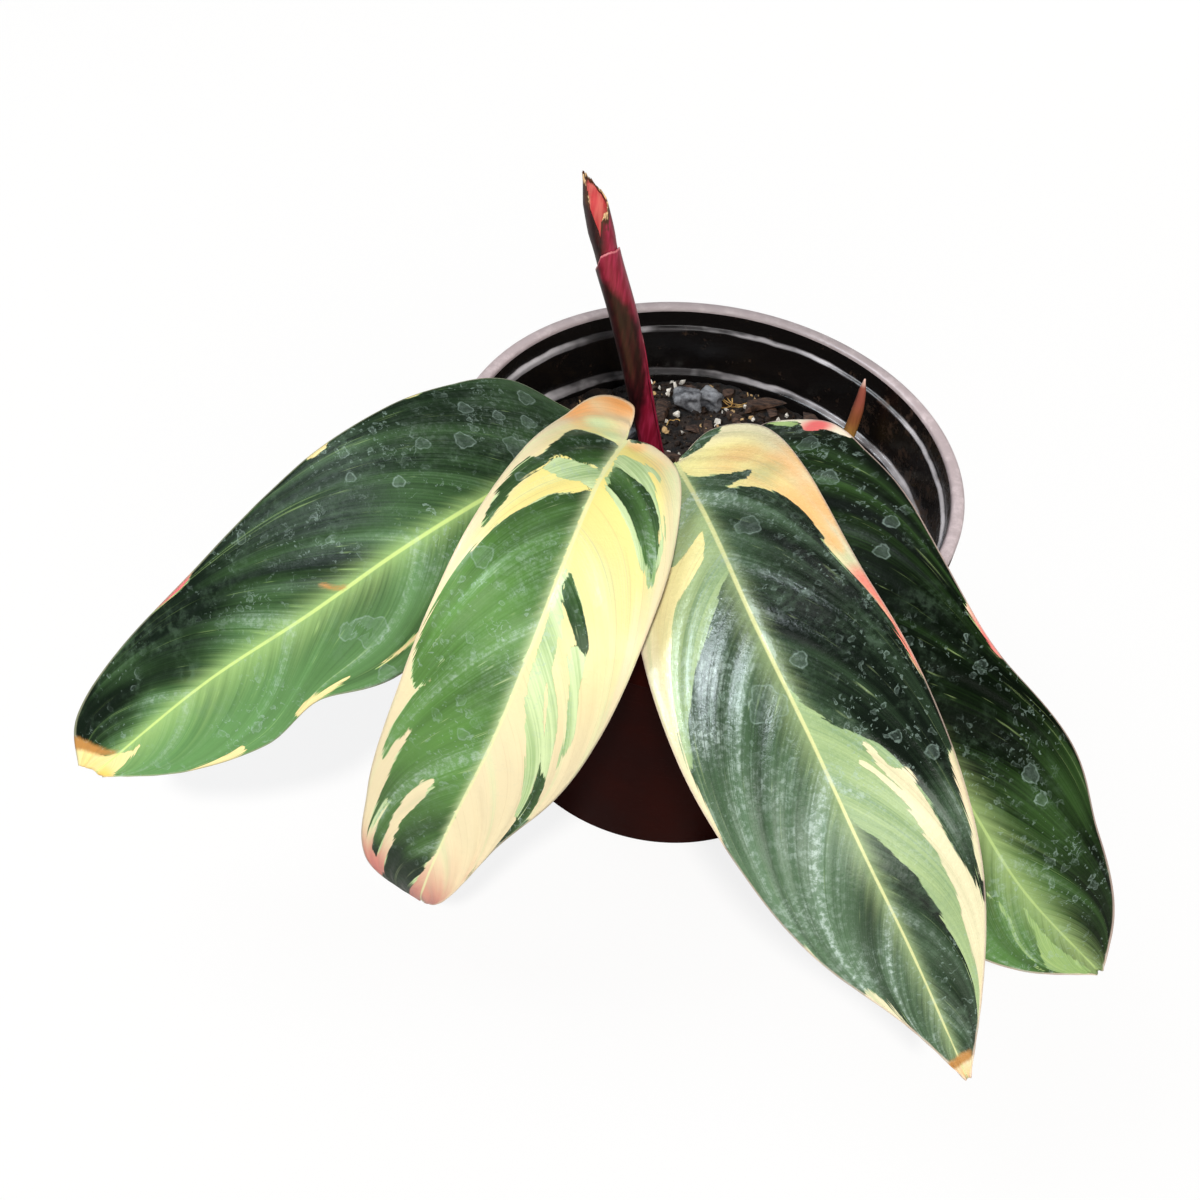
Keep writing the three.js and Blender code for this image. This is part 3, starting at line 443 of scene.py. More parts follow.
TONES = {
    "tan vein": tone(176, 128, 82), "burn": tone(180, 130, 70), "film": tone(106, 136, 108),
    # The dust tone on the next line also paints glare on the leaves.
    "ring": tone(158, 182, 172), "dust": tone(192, 210, 204), "wine": tone(84, 14, 36),
    "under cream": tone(214, 112, 122), "under pale": tone(160, 60, 78),
    "petiole": (tone(92, 20, 40), tone(140, 40, 62)),
    "roll skin": (tone(128, 20, 44), tone(164, 42, 74)), "roll dark": (tone(32, 8, 11), tone(58, 18, 22)),
    "roll lining": (tone(222, 88, 92), tone(238, 134, 124)), "dry": tone(72, 40, 22),
    "dry edge": tone(214, 178, 132), "sprout foot": tone(168, 132, 58), "pot inside": tone(13, 11, 11),
    # The light grey band tone on the next line is painted highlight for the pot's inner ledges.
    "pot dust": tone(98, 72, 54), "painted ledge glint": tone(182, 179, 184), "lip": tone(176, 162, 165),
    "lip scuff": tone(208, 194, 197), "pot body": tone(30, 5, 3), "pot scratch": tone(150, 60, 40),
    "peat": tone(10, 8, 7), "rhizome": (tone(150, 118, 80), tone(196, 168, 124)),
}

# Each finish: the least roughness, to which marks or the piece's own are added, and the bump's
# height in metres and strength.
FINISHES = {
    "leaf top": (0.0, 0.00022, 0.9), "leaf underside": (0.5, 0.00005, 0.8),
    "petiole": (0.42, 0.0001, 0.6), "roll skin": (0.4, 0.0001, 0.7), "roll lining": (0.5, 0.0001, 0.6),
    "sprout": (0.5, 0.0001, 0.6), "pot inside": (0.24, 0.0002, 0.5), "pot lip": (0.34, 0.00005, 0.5),
    "pot outside": (0.42, 0.0001, 0.5), "peat": (0.9, 0.0012, 1.0), "litter": (0.0, 0.0006, 1.0),
    "rhizome": (0.7, 0.0004, 0.8),
}

UNDER_SHEEN = {"Sheen Weight": 0.15, "Sheen Roughness": 0.4}
POT_GLEAM = {"Specular IOR Level": 0.02, "Specular Tint": tone(255, 90, 60)}

# How much of a mask or a noise goes into the roughness, the bump or a mask.
SHARES = {
    "ragged fray": 0.5, "ring edge": 0.3, "ring filled": 0.3, "specks": 0.8, "ring": 0.42,
    "rough marks": 0.1, "vein height": 0.12, "under pale": 0.6, "dust colour": 0.45,
    "dust rough": 0.4, "scuff rough": 0.15, "cloud rough": 0.2, "scratch colour": 0.06,
    "roll wander": 0.6, "dry wander": 5.0, "grit height": 0.5, "litter height": 0.4,
}

# Small water marks: the cells' waves per metre, the least and the largest radius in cells, and the
# line's width; how far the cells wander, and the specks' cells, their radius and how rare they are.
WATER_RINGS = [(150.0, 0.1, 0.3, 0.045), (330.0, 0.12, 0.34, 0.09)]
WATER = {
    "wander": 0.005, "wander_waves": 330.0, "wander_octaves": 3.0, "ring_above": 0.5,
    "speck_cells": 760.0, "speck_radius": 0.22, "speck_above": 0.62,
}

# Stretches of a noise as (x, y, z). Less than 1 draws it out upwards, more than 1 round about.
ALONG_STALK = (1.0, 1.0, 0.12)
ALONG_ROLL = (1.0, 1.0, 0.08)
ALONG_SPROUT = (1.0, 1.0, 0.1)
ROUND_LIP = (1.0, 1.0, 3.0)
ROUND_POT = (1.0, 1.0, 9.0)

# The rolled leaf is an inner sheet and an outer wrap. Angles run from the left (0) by way of the
# front (90): each has its two edges' angles by share of the height, its top's height across it, how
# far it lies within the profile, and up to which angle it is dark. Teeth and swell are waves.
ROLLED_LEAF = {
    "axis": [(-11, 17.5, 84), (-15.5, 17, 101), (-21, 17, 120), (-29, 15, 150), (-37, 12, 176),
             (-44, 12, 200)],
    "profile": [(0, 3.1), (0.12, 3.2), (0.4, 3.7), (0.62, 3.9), (0.8, 3.8), (0.88, 3.5), (0.93, 3.2),
                (0.955, 2.6), (0.978, 2.0), (1, 1.5)],
    "sheet": 0.36, "dry_reach": 2.0, "dry": (2.0, 1.0), "dry_edge": (0.4, -0.1), "cells": (88, 150),
    "teeth": [(0.005, 61, 0), (0.004, 137, 1)], "swell": (0.012, 17, 5), "overlap_end": (0.86, 0.03),
    "dark_blur": 80, "dark_from": -150,
    "inner": {
        "first": [(0, 92), (0.857, 92), (0.875, 90), (0.9, 80), (0.93, 68), (0.96, 76), (1, 95)],
        "last": [(0, -285), (0.84, -285), (0.857, -268), (0.9, -245), (0.93, -215), (0.96, -190), (1, -170)],
        "top": [(0, 0.945), (0.08, 0.975), (0.2, 0.995), (0.45, 1.0), (0.6, 0.985), (0.72, 0.945),
                (0.85, 0.915), (1, 0.9)],
        "inset": [(0, 0.55), (0.8, 0.55), (0.84, 0.2), (1, 0)], "overlap": 0.35, "ragged": 1.0, "dry": 1.0,
        "dark": [(0, 60), (0.7, 80), (0.79, 88), (0.88, 112), (0.93, 90), (1, 90)],
    },
    "outer": {
        "first": [(0, 148), (0.41, 150), (0.43, 160), (0.53, 182), (0.62, 200), (1, 215)],
        "last": [(0, -195), (0.41, -195), (0.53, -165), (1, -130)],
        "top": [(0, 0.8), (0.076, 0.808), (0.275, 0.819), (0.374, 0.812), (0.442, 0.785), (0.586, 0.752),
                (0.74, 0.7), (0.88, 0.62), (1, 0.52)],
        "inset": [(0, 0), (1, 0)], "overlap": 0.0, "ragged": 0.12, "dry": 0.0,
        "dark": [(0, -20), (0.2, 10), (0.28, 60), (0.36, 120), (0.45, 150), (0.6, 160), (0.67, 130),
                 (0.71, 100), (0.76, 60), (1, 50)],
    },
}
SPROUT = {
    "axis": [(43, 41, 78), (46, 43, 93), (47.5, 44.5, 108), (47, 43.5, 122)],
    "profile": [(0, 2.0), (0.4, 2.2), (0.7, 1.9), (0.9, 1.1), (1, 0.25)],
    "sides": 28, "rings": 50, "lap": 0.16, "lap_turns": 0.6,
}

# Loose stuff on the soil: how many of each kind, how large, and how far above the soil it lies.
CRUMBS = {
    "count": 1900, "radius": (0.5, 1.7), "width": (0.6, 1), "height": (0.5, 1), "lift": 0.2,
    "most_turn": 6.3,
}
BARK = {"count": 70, "size": (4.5, 2.6, 1.3), "grow": (0.5, 1.2), "lift": 0.3, "corners": 16}
PLAIN_BARK = {"lift": 0.9, "corners": 18}
CHARCOAL = {"count": 14, "size": (2.4, 2, 1.5), "grow": (0.6, 1.2), "lift": 0.7, "turn": 40, "seeds": 3.0}
PLAIN_CHARCOAL = {"lift_share": 0.45, "seeds": 7.0}
PERLITE = {"count": 110, "size": (0.6, 1.4), "lift": 0.9, "corners": 12}
FIBRES = {
    "count": 90, "length": (4, 13), "bend": (-0.5, 0.5), "plain_bend": 0.2, "lift": 0.5, "rise": (0, 1.3),
    "radius": (0.1, 0.24), "thinner": 0.5, "spans": 4, "reach": 65, "sides": 5, "rings": 12, "samples": 41,
}
SCATTER = {"seed": 5, "inner": 8, "outer": 66, "clear": 4.2}
CHIP_TILT = 0.3

# A worn lump: how much broad and fine noise swell it, and how its sides are flattened.
LUMP = {
    "finish": 4, "least": 0.86, "broad": 0.34, "broad_waves": 1.4, "fine": 0.05, "fine_waves": 6,
    "flat_at": 0.72, "flat_power": 0.7,
}
FEET = [leaf["foot"] for leaf in LEAVES.values()] + [(-13, 17.5), (46, 43)]

# Chips that lie in plain sight: (x, y, half-length, half-width, half-height).
BARK_PLACES = [(20, 58, 8, 3.2, 1.8), (37, 55, 7, 4.4, 2.2), (52, 38, 7, 4, 2.2), (-14, 48, 6, 3.4, 1.8),
               (-21, 58, 5, 3, 1.6), (55, 24, 5.5, 3.4, 2.0)]

# Large charcoal lumps: (x, y, half-length, half-width, half-height, heading).
CHARCOAL_PLACES = [(-6, 55, 7.6, 5.6, 5.4, 10), (1.6, 57.4, 6.2, 5, 4.6, -25), (50, 33, 3.8, 3, 2.4, 60),
                   (24, 47, 3.6, 2.8, 2.2, 10), (-24, 33, 4, 3, 2.4, 40)]

# Golden strands in plain sight: (x, y, heading in degrees, length).
STRANDS = [(4.5, 61, -62, 12), (7, 62, -70, 10), (6, 60, -50, 9), (9, 57, -35, 8)]
PERLITE_PLACES = [(-19, 63), (-16, 60), (-10.9, 62), (5.5, 52.5), (4.4, 48), (3.9, 45), (-6.8, 39.7),
                  (24.3, 52), (44, 49), (-23, 61), (-12, 64), (-8.6, 64.6)]

# Looks of the loose stuff: dark and light tone, waves per metre, roughness, the grain's stretch and
# a rare third tone.
LITTER_LOOKS = {
    "crumbs": (tone(10, 8, 7), tone(60, 45, 35), 500.0, 0.95, 1.0, tone(190, 158, 112)),
    "bark": (tone(26, 18, 15), tone(96, 72, 58), 380.0, 0.85, 4.0, None),
    "charcoal": (tone(52, 53, 58), tone(140, 143, 149), 240.0, 0.6, 1.0, None),
    "perlite": (tone(206, 200, 190), tone(250, 248, 242), 900.0, 0.8, 1.0, None),
    "coir": (tone(158, 116, 56), tone(222, 186, 116), 500.0, 0.8, 1.0, None),
}
LITTER_NOISE = {"cloud": (6.0, 0.65), "finer": 5, "grit": (3.0, 0.6)}
LITTER_LIMITS = {"cloud": (0.34, 0.7), "grit": (0.55, 0.75, 0.3), "rare": (0.62, 0.66)}

FLOOR = {
    "seen_glow": 0.97, "seen_paper": 0.9, "paper_share": 0.14, "bounce": 0.45, "size": 6.0, "below": 0.2,
}
WORLD = {"light": 0.1, "seen": 0.95, "color": (0.95, 0.97, 1.0, 1)}

# The lamps: kind, azimuth (0 is behind the pot, 90 to its right), elevation, strength, whether it
# lights surfaces, whether it shows as gloss on them, and the rest.
LAMPS = {
    "sun": ("SUN", -174, 58, 3.1, True, False, {"angle": math.radians(5), "color": (1.0, 0.96, 0.9)}),
    "window": ("AREA", -96, 53, 17, False, True,
               {"shape": "RECTANGLE", "size": 0.85, "size_y": 0.3, "color": (0.84, 0.93, 1.0)}),
    "sky": ("AREA", -80, 55, 4, True, False, {"size": 0.6, "color": (0.86, 0.94, 1.0)}),
    "front": ("AREA", 172, 26, 5.5, True, True,
              {"shape": "RECTANGLE", "size": 1.0, "size_y": 0.55, "color": (1.0, 0.99, 0.96)}),
    "rear": ("AREA", 20, 28, 3, True, False, {"size": 0.8, "color": (0.96, 0.97, 1.0)}),
    "high": ("AREA", 0, 62, 0.6, False, True, {"size": 0.4, "color": (0.96, 0.97, 1.0)}),
}
LAMP_AIM = (0, 0, 0.1)
LAMP_DISTANCE = 1.2

# --- curves and shapes


def unit(vectors):
    return vectors / np.linalg.norm(vectors, axis=-1, keepdims=True)


def pulled_curve(start, stop, leave, arrive, w):
    """From start to stop for w from 0 to 1, with these pulls on leaving and on arriving."""
    cubic = 2 * start - 2 * stop + leave + arrive
    square = -3 * start + 3 * stop - 2 * leave - arrive
    return cubic * w**3 + square * w**2 + leave * w + start


def smooth_span(before, start, stop, after, w):
    """One span of a Catmull-Rom curve."""
    return pulled_curve(start, stop, (stop - before) / 2, (after - start) / 2, w)


def with_ends(points):
    """The points, with one more at either end that carries on straight."""
    points = np.asarray(points, float)
    return np.vstack([2 * points[0] - points[1], points, 2 * points[-1] - points[-2]])


def catmull(points, share):
    """The smooth curve through the points, at shares from 0 to 1 of its stations."""
    place = np.clip(share, 0, 1) * (len(points) - 1)
    first = np.minimum(place.astype(int), len(points) - 2)
    ends = with_ends(points)
    return smooth_span(*(ends[first + i] for i in range(4)), (place - first)[..., None])


def spread(values, share):
    """Values at equal stations, read at shares from 0 to 1 along a smooth curve."""
    return catmull(np.asarray(values, float)[:, None], share)[..., 0]


def centripetal(points, pieces=24):
    """A smooth curve that doesn't overshoot between uneven points, as points along it."""
    ends = with_ends(points)
    w = (np.arange(pieces) / pieces)[:, None]
    path = []
    for before, start, stop, after in zip(ends, ends[1:], ends[2:], ends[3:]):
        steps = (start - before, stop - start, after - stop)
        first, here, last = (max(np.linalg.norm(step) ** 0.5, GUARD) for step in steps)
        leave = (start - before) / first - (stop - before) / (first + here) + (stop - start) / here
        arrive = (stop - start) / here - (after - start) / (here + last) + (after - stop) / last
        path.append(pulled_curve(start, stop, here * leave, here * arrive, w))
    return np.vstack([*path, ends[-2]])


class Course:
    """A smooth curve in space, read by distance along it."""

    def __init__(self, points, samples=401):
        self.steps = np.linspace(0, 1, samples)
        self.points = np.asarray(points, float)
        path = catmull(self.points, self.steps)
        self.run = np.r_[0, np.cumsum(np.linalg.norm(np.diff(path, axis=0), axis=1))]
        self.length = self.run[-1]

    def at(self, along):
        """Centre and direction at distances along; past its ends the curve runs on straight."""
        share = np.interp(along, self.run, self.steps)
        reach = 2e-3
        tangent = unit(catmull(self.points, share + reach) - catmull(self.points, share - reach))
        beyond = along - np.clip(along, 0, self.length)
        return catmull(self.points, share) + tangent * beyond[..., None], tangent


class LeafShape:
    """A blade's middle surface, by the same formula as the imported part."""

    def __init__(self, leaf):
        self.leaf = leaf
        self.course = Course(leaf["midrib"])
        self.length = self.course.length
        heading = np.subtract(leaf["midrib"][-1], leaf["midrib"][0]) * (1, 1, 0)
        self.level = np.cross((0, 0, 1), unit(heading))

    def chart(self, u, t):
        """For shares u from base to tip and t from -1 (left margin) to 1: along, across and the
        half's width there."""
        left = (t < 0)[..., None]
        margin = np.where(left, catmull(self.leaf["left"], u), catmull(self.leaf["right"], u))
        root = self.length * u ** BLADE["vein_start"]
        along = root + (margin[..., 0] - root) * np.abs(t) ** BLADE["vein_sweep"]
        return along, margin[..., 1] * np.abs(t), margin[..., 1]

    def veins(self, along, t):
        """Where the side vein through each point leaves the midrib, as a distance along it. A vein
        sets out slantwise and bends until it runs along with the margin."""
        steps = np.arange(-VEINS["before"], self.length + VEINS["past"], 1.0)
        slant = np.interp(steps, (0, self.length), VEINS["slant"])
        origin = np.empty(along.shape)
        for key, here in (("left", t < 0), ("right", t >= 0)):
            margin = catmull(self.leaf[key], np.linspace(0, 1, VEINS["samples"]))
            tail = margin[np.argmin(margin[:, 0]):]
            width = np.maximum(np.interp(steps, tail[:, 0], tail[:, 1]), VEINS["least_width"])
            travel = np.cumsum(slant / width)
            gone = np.log(1 - VEINS["reach"] * np.abs(t[here]))
            origin[here] = np.interp(np.interp(along[here], steps, travel) + gone, travel, steps)
        return origin

    def frame(self, along):
        along = np.asarray(along, float)
        centre, tangent = self.course.at(along)
        flat = unit(self.level - tangent * (tangent @ self.level)[..., None])
        up = np.cross(tangent, flat)
        roll = np.radians(spread(self.leaf["roll"], along / self.length))[..., None]
        side = flat * np.cos(roll) + up * np.sin(roll)
        return centre, tangent, side, np.cross(tangent, side)

    def by_half(self, key, share, left):
        """What a table of the leaf says for either half, in each point's own half."""
        halves = self.leaf[key]
        return np.where(left, spread(halves["left"], share), spread(halves["right"], share))

    def surface(self, u, t, lift):
        along, across, _ = self.chart(u, t)
        centre, _, side, upper = self.frame(along)
        share, left = along / self.length, t < 0
        fold = np.radians(self.by_half("fold", share, left))
        bend = np.radians(self.by_half("curl", share, left)) / BLADE["half_width"]
        turn = fold + bend * across
        height, waves, phase = self.leaf["ripple"]
        wave = 2 * np.pi * waves * u + phase + np.where(left, 0, BLADE["half_phase"])
        rise = height * t**2 * np.sin(wave) * np.sin(np.pi * u)
        outward = (np.sin(turn) - np.sin(fold)) / bend - lift * np.sin(turn)
        upward = (np.cos(fold) - np.cos(turn)) / bend + lift * np.cos(turn) + rise
        return centre + side * (np.sign(t) * outward)[..., None] + upper * upward[..., None]


def rounded(outline, pieces=4):
    """A closed outline with its corners drawn smooth."""
    corners = np.asarray(outline, float)
    w = (np.arange(pieces) / pieces)[:, None]
    spans = (np.roll(corners, -shift, axis=0)[:, None] for shift in (-1, 0, 1, 2))
    return smooth_span(*spans, w).reshape(-1, 2)


def inside_by(outline, x, y):
    """How far points lie inside a closed outline; negative outside."""
    closest = np.full(x.shape, np.inf)
    inside = np.zeros(x.shape, bool)
    for (ax, ay), (bx, by) in zip(outline, np.roll(outline, -1, axis=0)):
        dx, dy = bx - ax, by - ay
        share = np.clip(((x - ax) * dx + (y - ay) * dy) / (dx * dx + dy * dy + GUARD), 0, 1)
        closest = np.minimum(closest, np.hypot(x - ax - share * dx, y - ay - share * dy))
        inside ^= ((ay > y) != (by > y)) & (x < ax + (y - ay) * dx / (dy if dy else GUARD))
    return np.where(inside, closest, -closest)


def graph(pairs, share):
    """The value at a share of a line drawn straight from pair to pair."""
    where, values = zip(*pairs)
    return np.interp(share, where, values)


# --- making pieces


def finish_mesh(name, bm, smooth=True, sharp=None):
    mesh = bpy.data.meshes.new(name)
    bm.to_mesh(mesh)
    bm.free()
    mesh.polygons.foreach_set("use_smooth", [smooth] * len(mesh.polygons))
    if sharp is not None:
        mesh.set_sharp_from_angle(angle=math.radians(sharp))
    return mesh


def show(name, data):
    """Puts a mesh, a camera or a lamp into the scene."""
    shown = bpy.data.objects.new(name, data)
    bpy.context.scene.collection.objects.link(shown)
    return shown


def add_piece(name, mesh, slot, *materials, stands_for=()):
    """Puts a mesh, whose points are already in metres in the row frame, on the part."""
    piece = show(name, mesh)
    for material in materials:
        mesh.materials.append(material)
    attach(piece, "root")
    if stands_for:
        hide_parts(*stands_for)
    return piece


def thicken(piece, thickness):
    """Gives a sheet its thickness, half to either side, with its second material underneath."""
    wall = piece.modifiers.new("thickness", "SOLIDIFY")
    wall.thickness = thickness * MM
    wall.offset = 0.0
    wall.material_offset = 1


def write_layer(mesh, name, *columns):
    layer = mesh.attributes.new(name, "FLOAT_VECTOR", "POINT")
    layer.data.foreach_set("vector", np.stack(columns, axis=-1).astype(np.float32).ravel())


def grid_shape(bm, across, along):
    """Adds a grid to the bmesh; returns its vertices and their two places, each from 0 to 1."""
    made = bmesh.ops.create_grid(bm, x_segments=across, y_segments=along, size=1.0)["verts"]
    places = (np.array([vert.co[:2] for vert in made]) + 1) / 2
    return made, places[:, 0], places[:, 1]


def move_to(verts, points):
    for vert, point in zip(verts, points * MM):
        vert.co = point


def round_course(course, share, out, angle, guide=(-1, 0, 0)):
    """Points round a course, at a distance and an angle from it: 0 is towards the guide."""
    centre, tangent = course.at(share * course.length)
    side = unit(guide - tangent * (tangent @ np.asarray(guide, float))[:, None])
    front = np.cross(tangent, side)
    return centre + side * (out * np.cos(angle))[:, None] + front * (out * np.sin(angle))[:, None]


def plain_round(angle, share):
    return 1.0


def bent_bar(bm, course, radius_at, sides, rings, section=plain_round, guide=(-1, 0, 0)):
    """Adds a closed round bar bent along a course; section shapes it by angle and share."""
    verts, around, up = grid_shape(bm, sides, rings + 2)
    row = np.rint(up * (rings + 2))
    share = np.clip((row - 1) / rings, 0, 1)
    angle = 2 * np.pi * around
    closed = (row > 0) & (row < rings + 2)
    out = radius_at(share) * section(angle, share) * closed
    move_to(verts, round_course(course, share, out, angle, guide))
    bmesh.ops.remove_doubles(bm, verts=verts, dist=MERGED)


def bar_piece(name, course, radius_at, sides, rings, section=plain_round):
    bm = bmesh.new()
    bent_bar(bm, course, radius_at, sides, rings, section)
    bmesh.ops.recalc_face_normals(bm, faces=bm.faces)
    return finish_mesh(name, bm)


# --- shader helpers


class Value:
    """A number that changes over a surface. A sum written with it adds nodes to its tree."""

    def __init__(self, tree, socket):
        self.tree = tree
        self.socket = socket

    def __add__(self, other):
        return self.tree.math("ADD", self, other)

    def __sub__(self, other):
        return self.tree.math("SUBTRACT", self, other)

    def __mul__(self, other):
        return self.tree.math("MULTIPLY", self, other)

    def __truediv__(self, other):
        return self.tree.math("DIVIDE", self, other)

    def __abs__(self):
        return self.tree.math("ABSOLUTE", self)

    def __gt__(self, other):
        return self.tree.math("GREATER_THAN", self, other)

    def __lt__(self, other):
        return self.tree.math("LESS_THAN", self, other)

    def larger(self, other):
        return self.tree.math("MAXIMUM", self, other)

    def rise(self, start, full, most=1.0):
        """0 at the start and a smooth rise to the most; it rises as the value falls if the start is
        above the full value."""
        return self.tree.scale(self, start, full, 0.0, most, interpolation_type="SMOOTHSTEP")

    def soft(self, key):
        return self.rise(*LIMITS[key])

    def span(self, key):
        return self.tree.scale(self, *SPANS[key])


class Tree:
    """Adds nodes to a node tree, so that a material reads as a list of steps."""

    def __init__(self, tree):
        self.tree = tree

    def node(self, kind, values=None, **settings):
        made = self.tree.nodes.new(kind)
        for name, value in settings.items():
            setattr(made, name, value)
        for key, value in (values or {}).items():
            if isinstance(value, Value):
                value = value.socket
            if isinstance(value, bpy.types.NodeSocket):
                self.tree.links.new(value, made.inputs[key])
            else:
                made.inputs[key].default_value = value
        return made

    def math(self, operation, first, second=0.0):
        made = self.node("ShaderNodeMath", {0: first, 1: second}, operation=operation)
        return Value(self, made.outputs[0])

    def scale(self, value, low, high, to_low, to_high, **settings):
        values = {0: value, 1: low, 2: high, 3: to_low, 4: to_high}
        return Value(self, self.node("ShaderNodeMapRange", values, **settings).outputs[0])

    def split(self, vector):
        return [Value(self, part) for part in self.node("ShaderNodeSeparateXYZ", {0: vector}).outputs]

    def noise(self, vector, waves, octaves=2.0, roughness=0.5):
        values = {"Vector": vector, "Scale": waves, "Detail": octaves, "Roughness": roughness}
        return Value(self, self.node("ShaderNodeTexNoise", values).outputs["Fac"])

    def stretch(self, vector, factors):
        return self.node("ShaderNodeVectorMath", {0: vector, 1: factors}, operation="MULTIPLY").outputs[0]

    def place(self, factors=None):
        """Object coordinates, in metres, and stretched by these factors."""
        place = self.node("ShaderNodeTexCoord").outputs["Object"]
        return self.stretch(place, factors) if factors else place

    def grain(self, key, factors=None):
        return self.noise(self.place(factors), *GRAINS[key])

    def layer(self, name):
        return self.node("ShaderNodeAttribute", attribute_name=name).outputs["Vector"]

    def group(self, group, values):
        """Places a node group; returns its outputs by name."""
        made = self.node("ShaderNodeGroup", values, node_tree=group)
        return {output.name: Value(self, output) for output in made.outputs}

    def blend(self, mask, under, over):
        return self.node("ShaderNodeMix", {0: mask, 6: under, 7: over}, data_type="RGBA").outputs[2]

    def paint(self, colour, *layers):
        """Lays colours over a first one, each where its mask is."""
        for mask, over in layers:
            colour = self.blend(mask, colour, over)
        return colour

    def coat(self, colour, value, key):
        """Lays one of the COATS over a colour."""
        *limits, over = COATS[key]
        return self.blend(value.rise(*limits), colour, over)

    def two_tones(self, value, key):
        return self.blend(value.soft("two tones"), *TONES[key])


def new_material(name):
    """An empty material and its node helper."""
    material = bpy.data.materials.new(name)
    material.use_nodes = True
    material.node_tree.nodes.clear()
    return material, Tree(material.node_tree)


def close_material(tree, colour, relief, finish, rougher=0.0, more=None):
    """Ends a material with a Principled shader, with its finish's roughness and bump."""
    rough, height, strength = FINISHES[finish]
    bump = tree.node("ShaderNodeBump", {"Height": relief, "Distance": height, "Strength": strength})
    values = {"Base Color": colour, "Roughness": rougher + rough, "Normal": bump.outputs["Normal"]}
    values.update(more or {})
    shader = tree.node("ShaderNodeBsdfPrincipled", values).outputs[0]
    tree.node("ShaderNodeOutputMaterial", {"Surface": shader})


def new_group(name, inputs, outputs):
    """A shader node group with these sockets; returns it with its helper and its input sockets."""
    group = bpy.data.node_groups.new(name, "ShaderNodeTree")
    for side, sockets in (("INPUT", inputs), ("OUTPUT", outputs)):
        for kind, titles in sockets.items():
            for title in titles:
                group.interface.new_socket(title, in_out=side, socket_type="NodeSocket" + kind)
    tree = Tree(group)
    return group, tree, tree.node("NodeGroupInput").outputs


# --- leaf finishes


def water_marks_group():
    """Hard-water marks: broken rings of two sizes, squiggles and fine specks; a dusty film in clouds,
    and fine scuffs."""
    group, tree, given = new_group("water marks", {"Vector": ["Place"]}, {"Float": ["Mask", "Film", "Scuff"]})
    place = given["Place"]
    wander = tree.node("ShaderNodeTexNoise", {
        "Vector": place, "Scale": WATER["wander_waves"], "Detail": WATER["wander_octaves"]})
    moved = tree.node("ShaderNodeMix", {0: WATER["wander"], 4: place, 5: wander.outputs["Color"]},
                      data_type="VECTOR").outputs[1]

    def cells(waves):
        """The distance from the nearest cell's middle, and three random numbers of that cell."""
        made = tree.node("ShaderNodeTexVoronoi", {"Vector": moved, "Scale": waves}).outputs
        return Value(tree, made["Distance"]), tree.split(made["Color"])

    def grain(key):
        return tree.noise(place, *GRAINS[key])

    marks = 0.0
    for waves, least, most, width in WATER_RINGS:
        distance, draws = cells(waves)
        radius = tree.scale(draws[0], 0.0, 1.0, least, most)
        line = abs(distance - radius).rise(width, width * SHARES["ring edge"])
        ring = line.larger((distance < radius) * SHARES["ring filled"])
        marks = (ring * (draws[1] > WATER["ring_above"])).larger(marks)
    marks *= grain("broken rings").span("broken rings")
    squiggle = abs(grain("squiggle") - 0.5).soft("squiggle")
    marks = marks.larger(squiggle * grain("squiggles part").soft("squiggles part"))
    distance, draws = cells(WATER["speck_cells"])
    specks = (distance < WATER["speck_radius"]) * (draws[2] > WATER["speck_above"])
    marks = marks.larger(specks * SHARES["specks"]) * grain("marks part").soft("marks part")
    film = grain("film cloud").soft("film cloud") * grain("film grain").soft("film grain")
    tree.node("NodeGroupOutput", {"Mask": marks, "Film": film, "Scuff": grain("scuff").soft("scuff")})
    return group


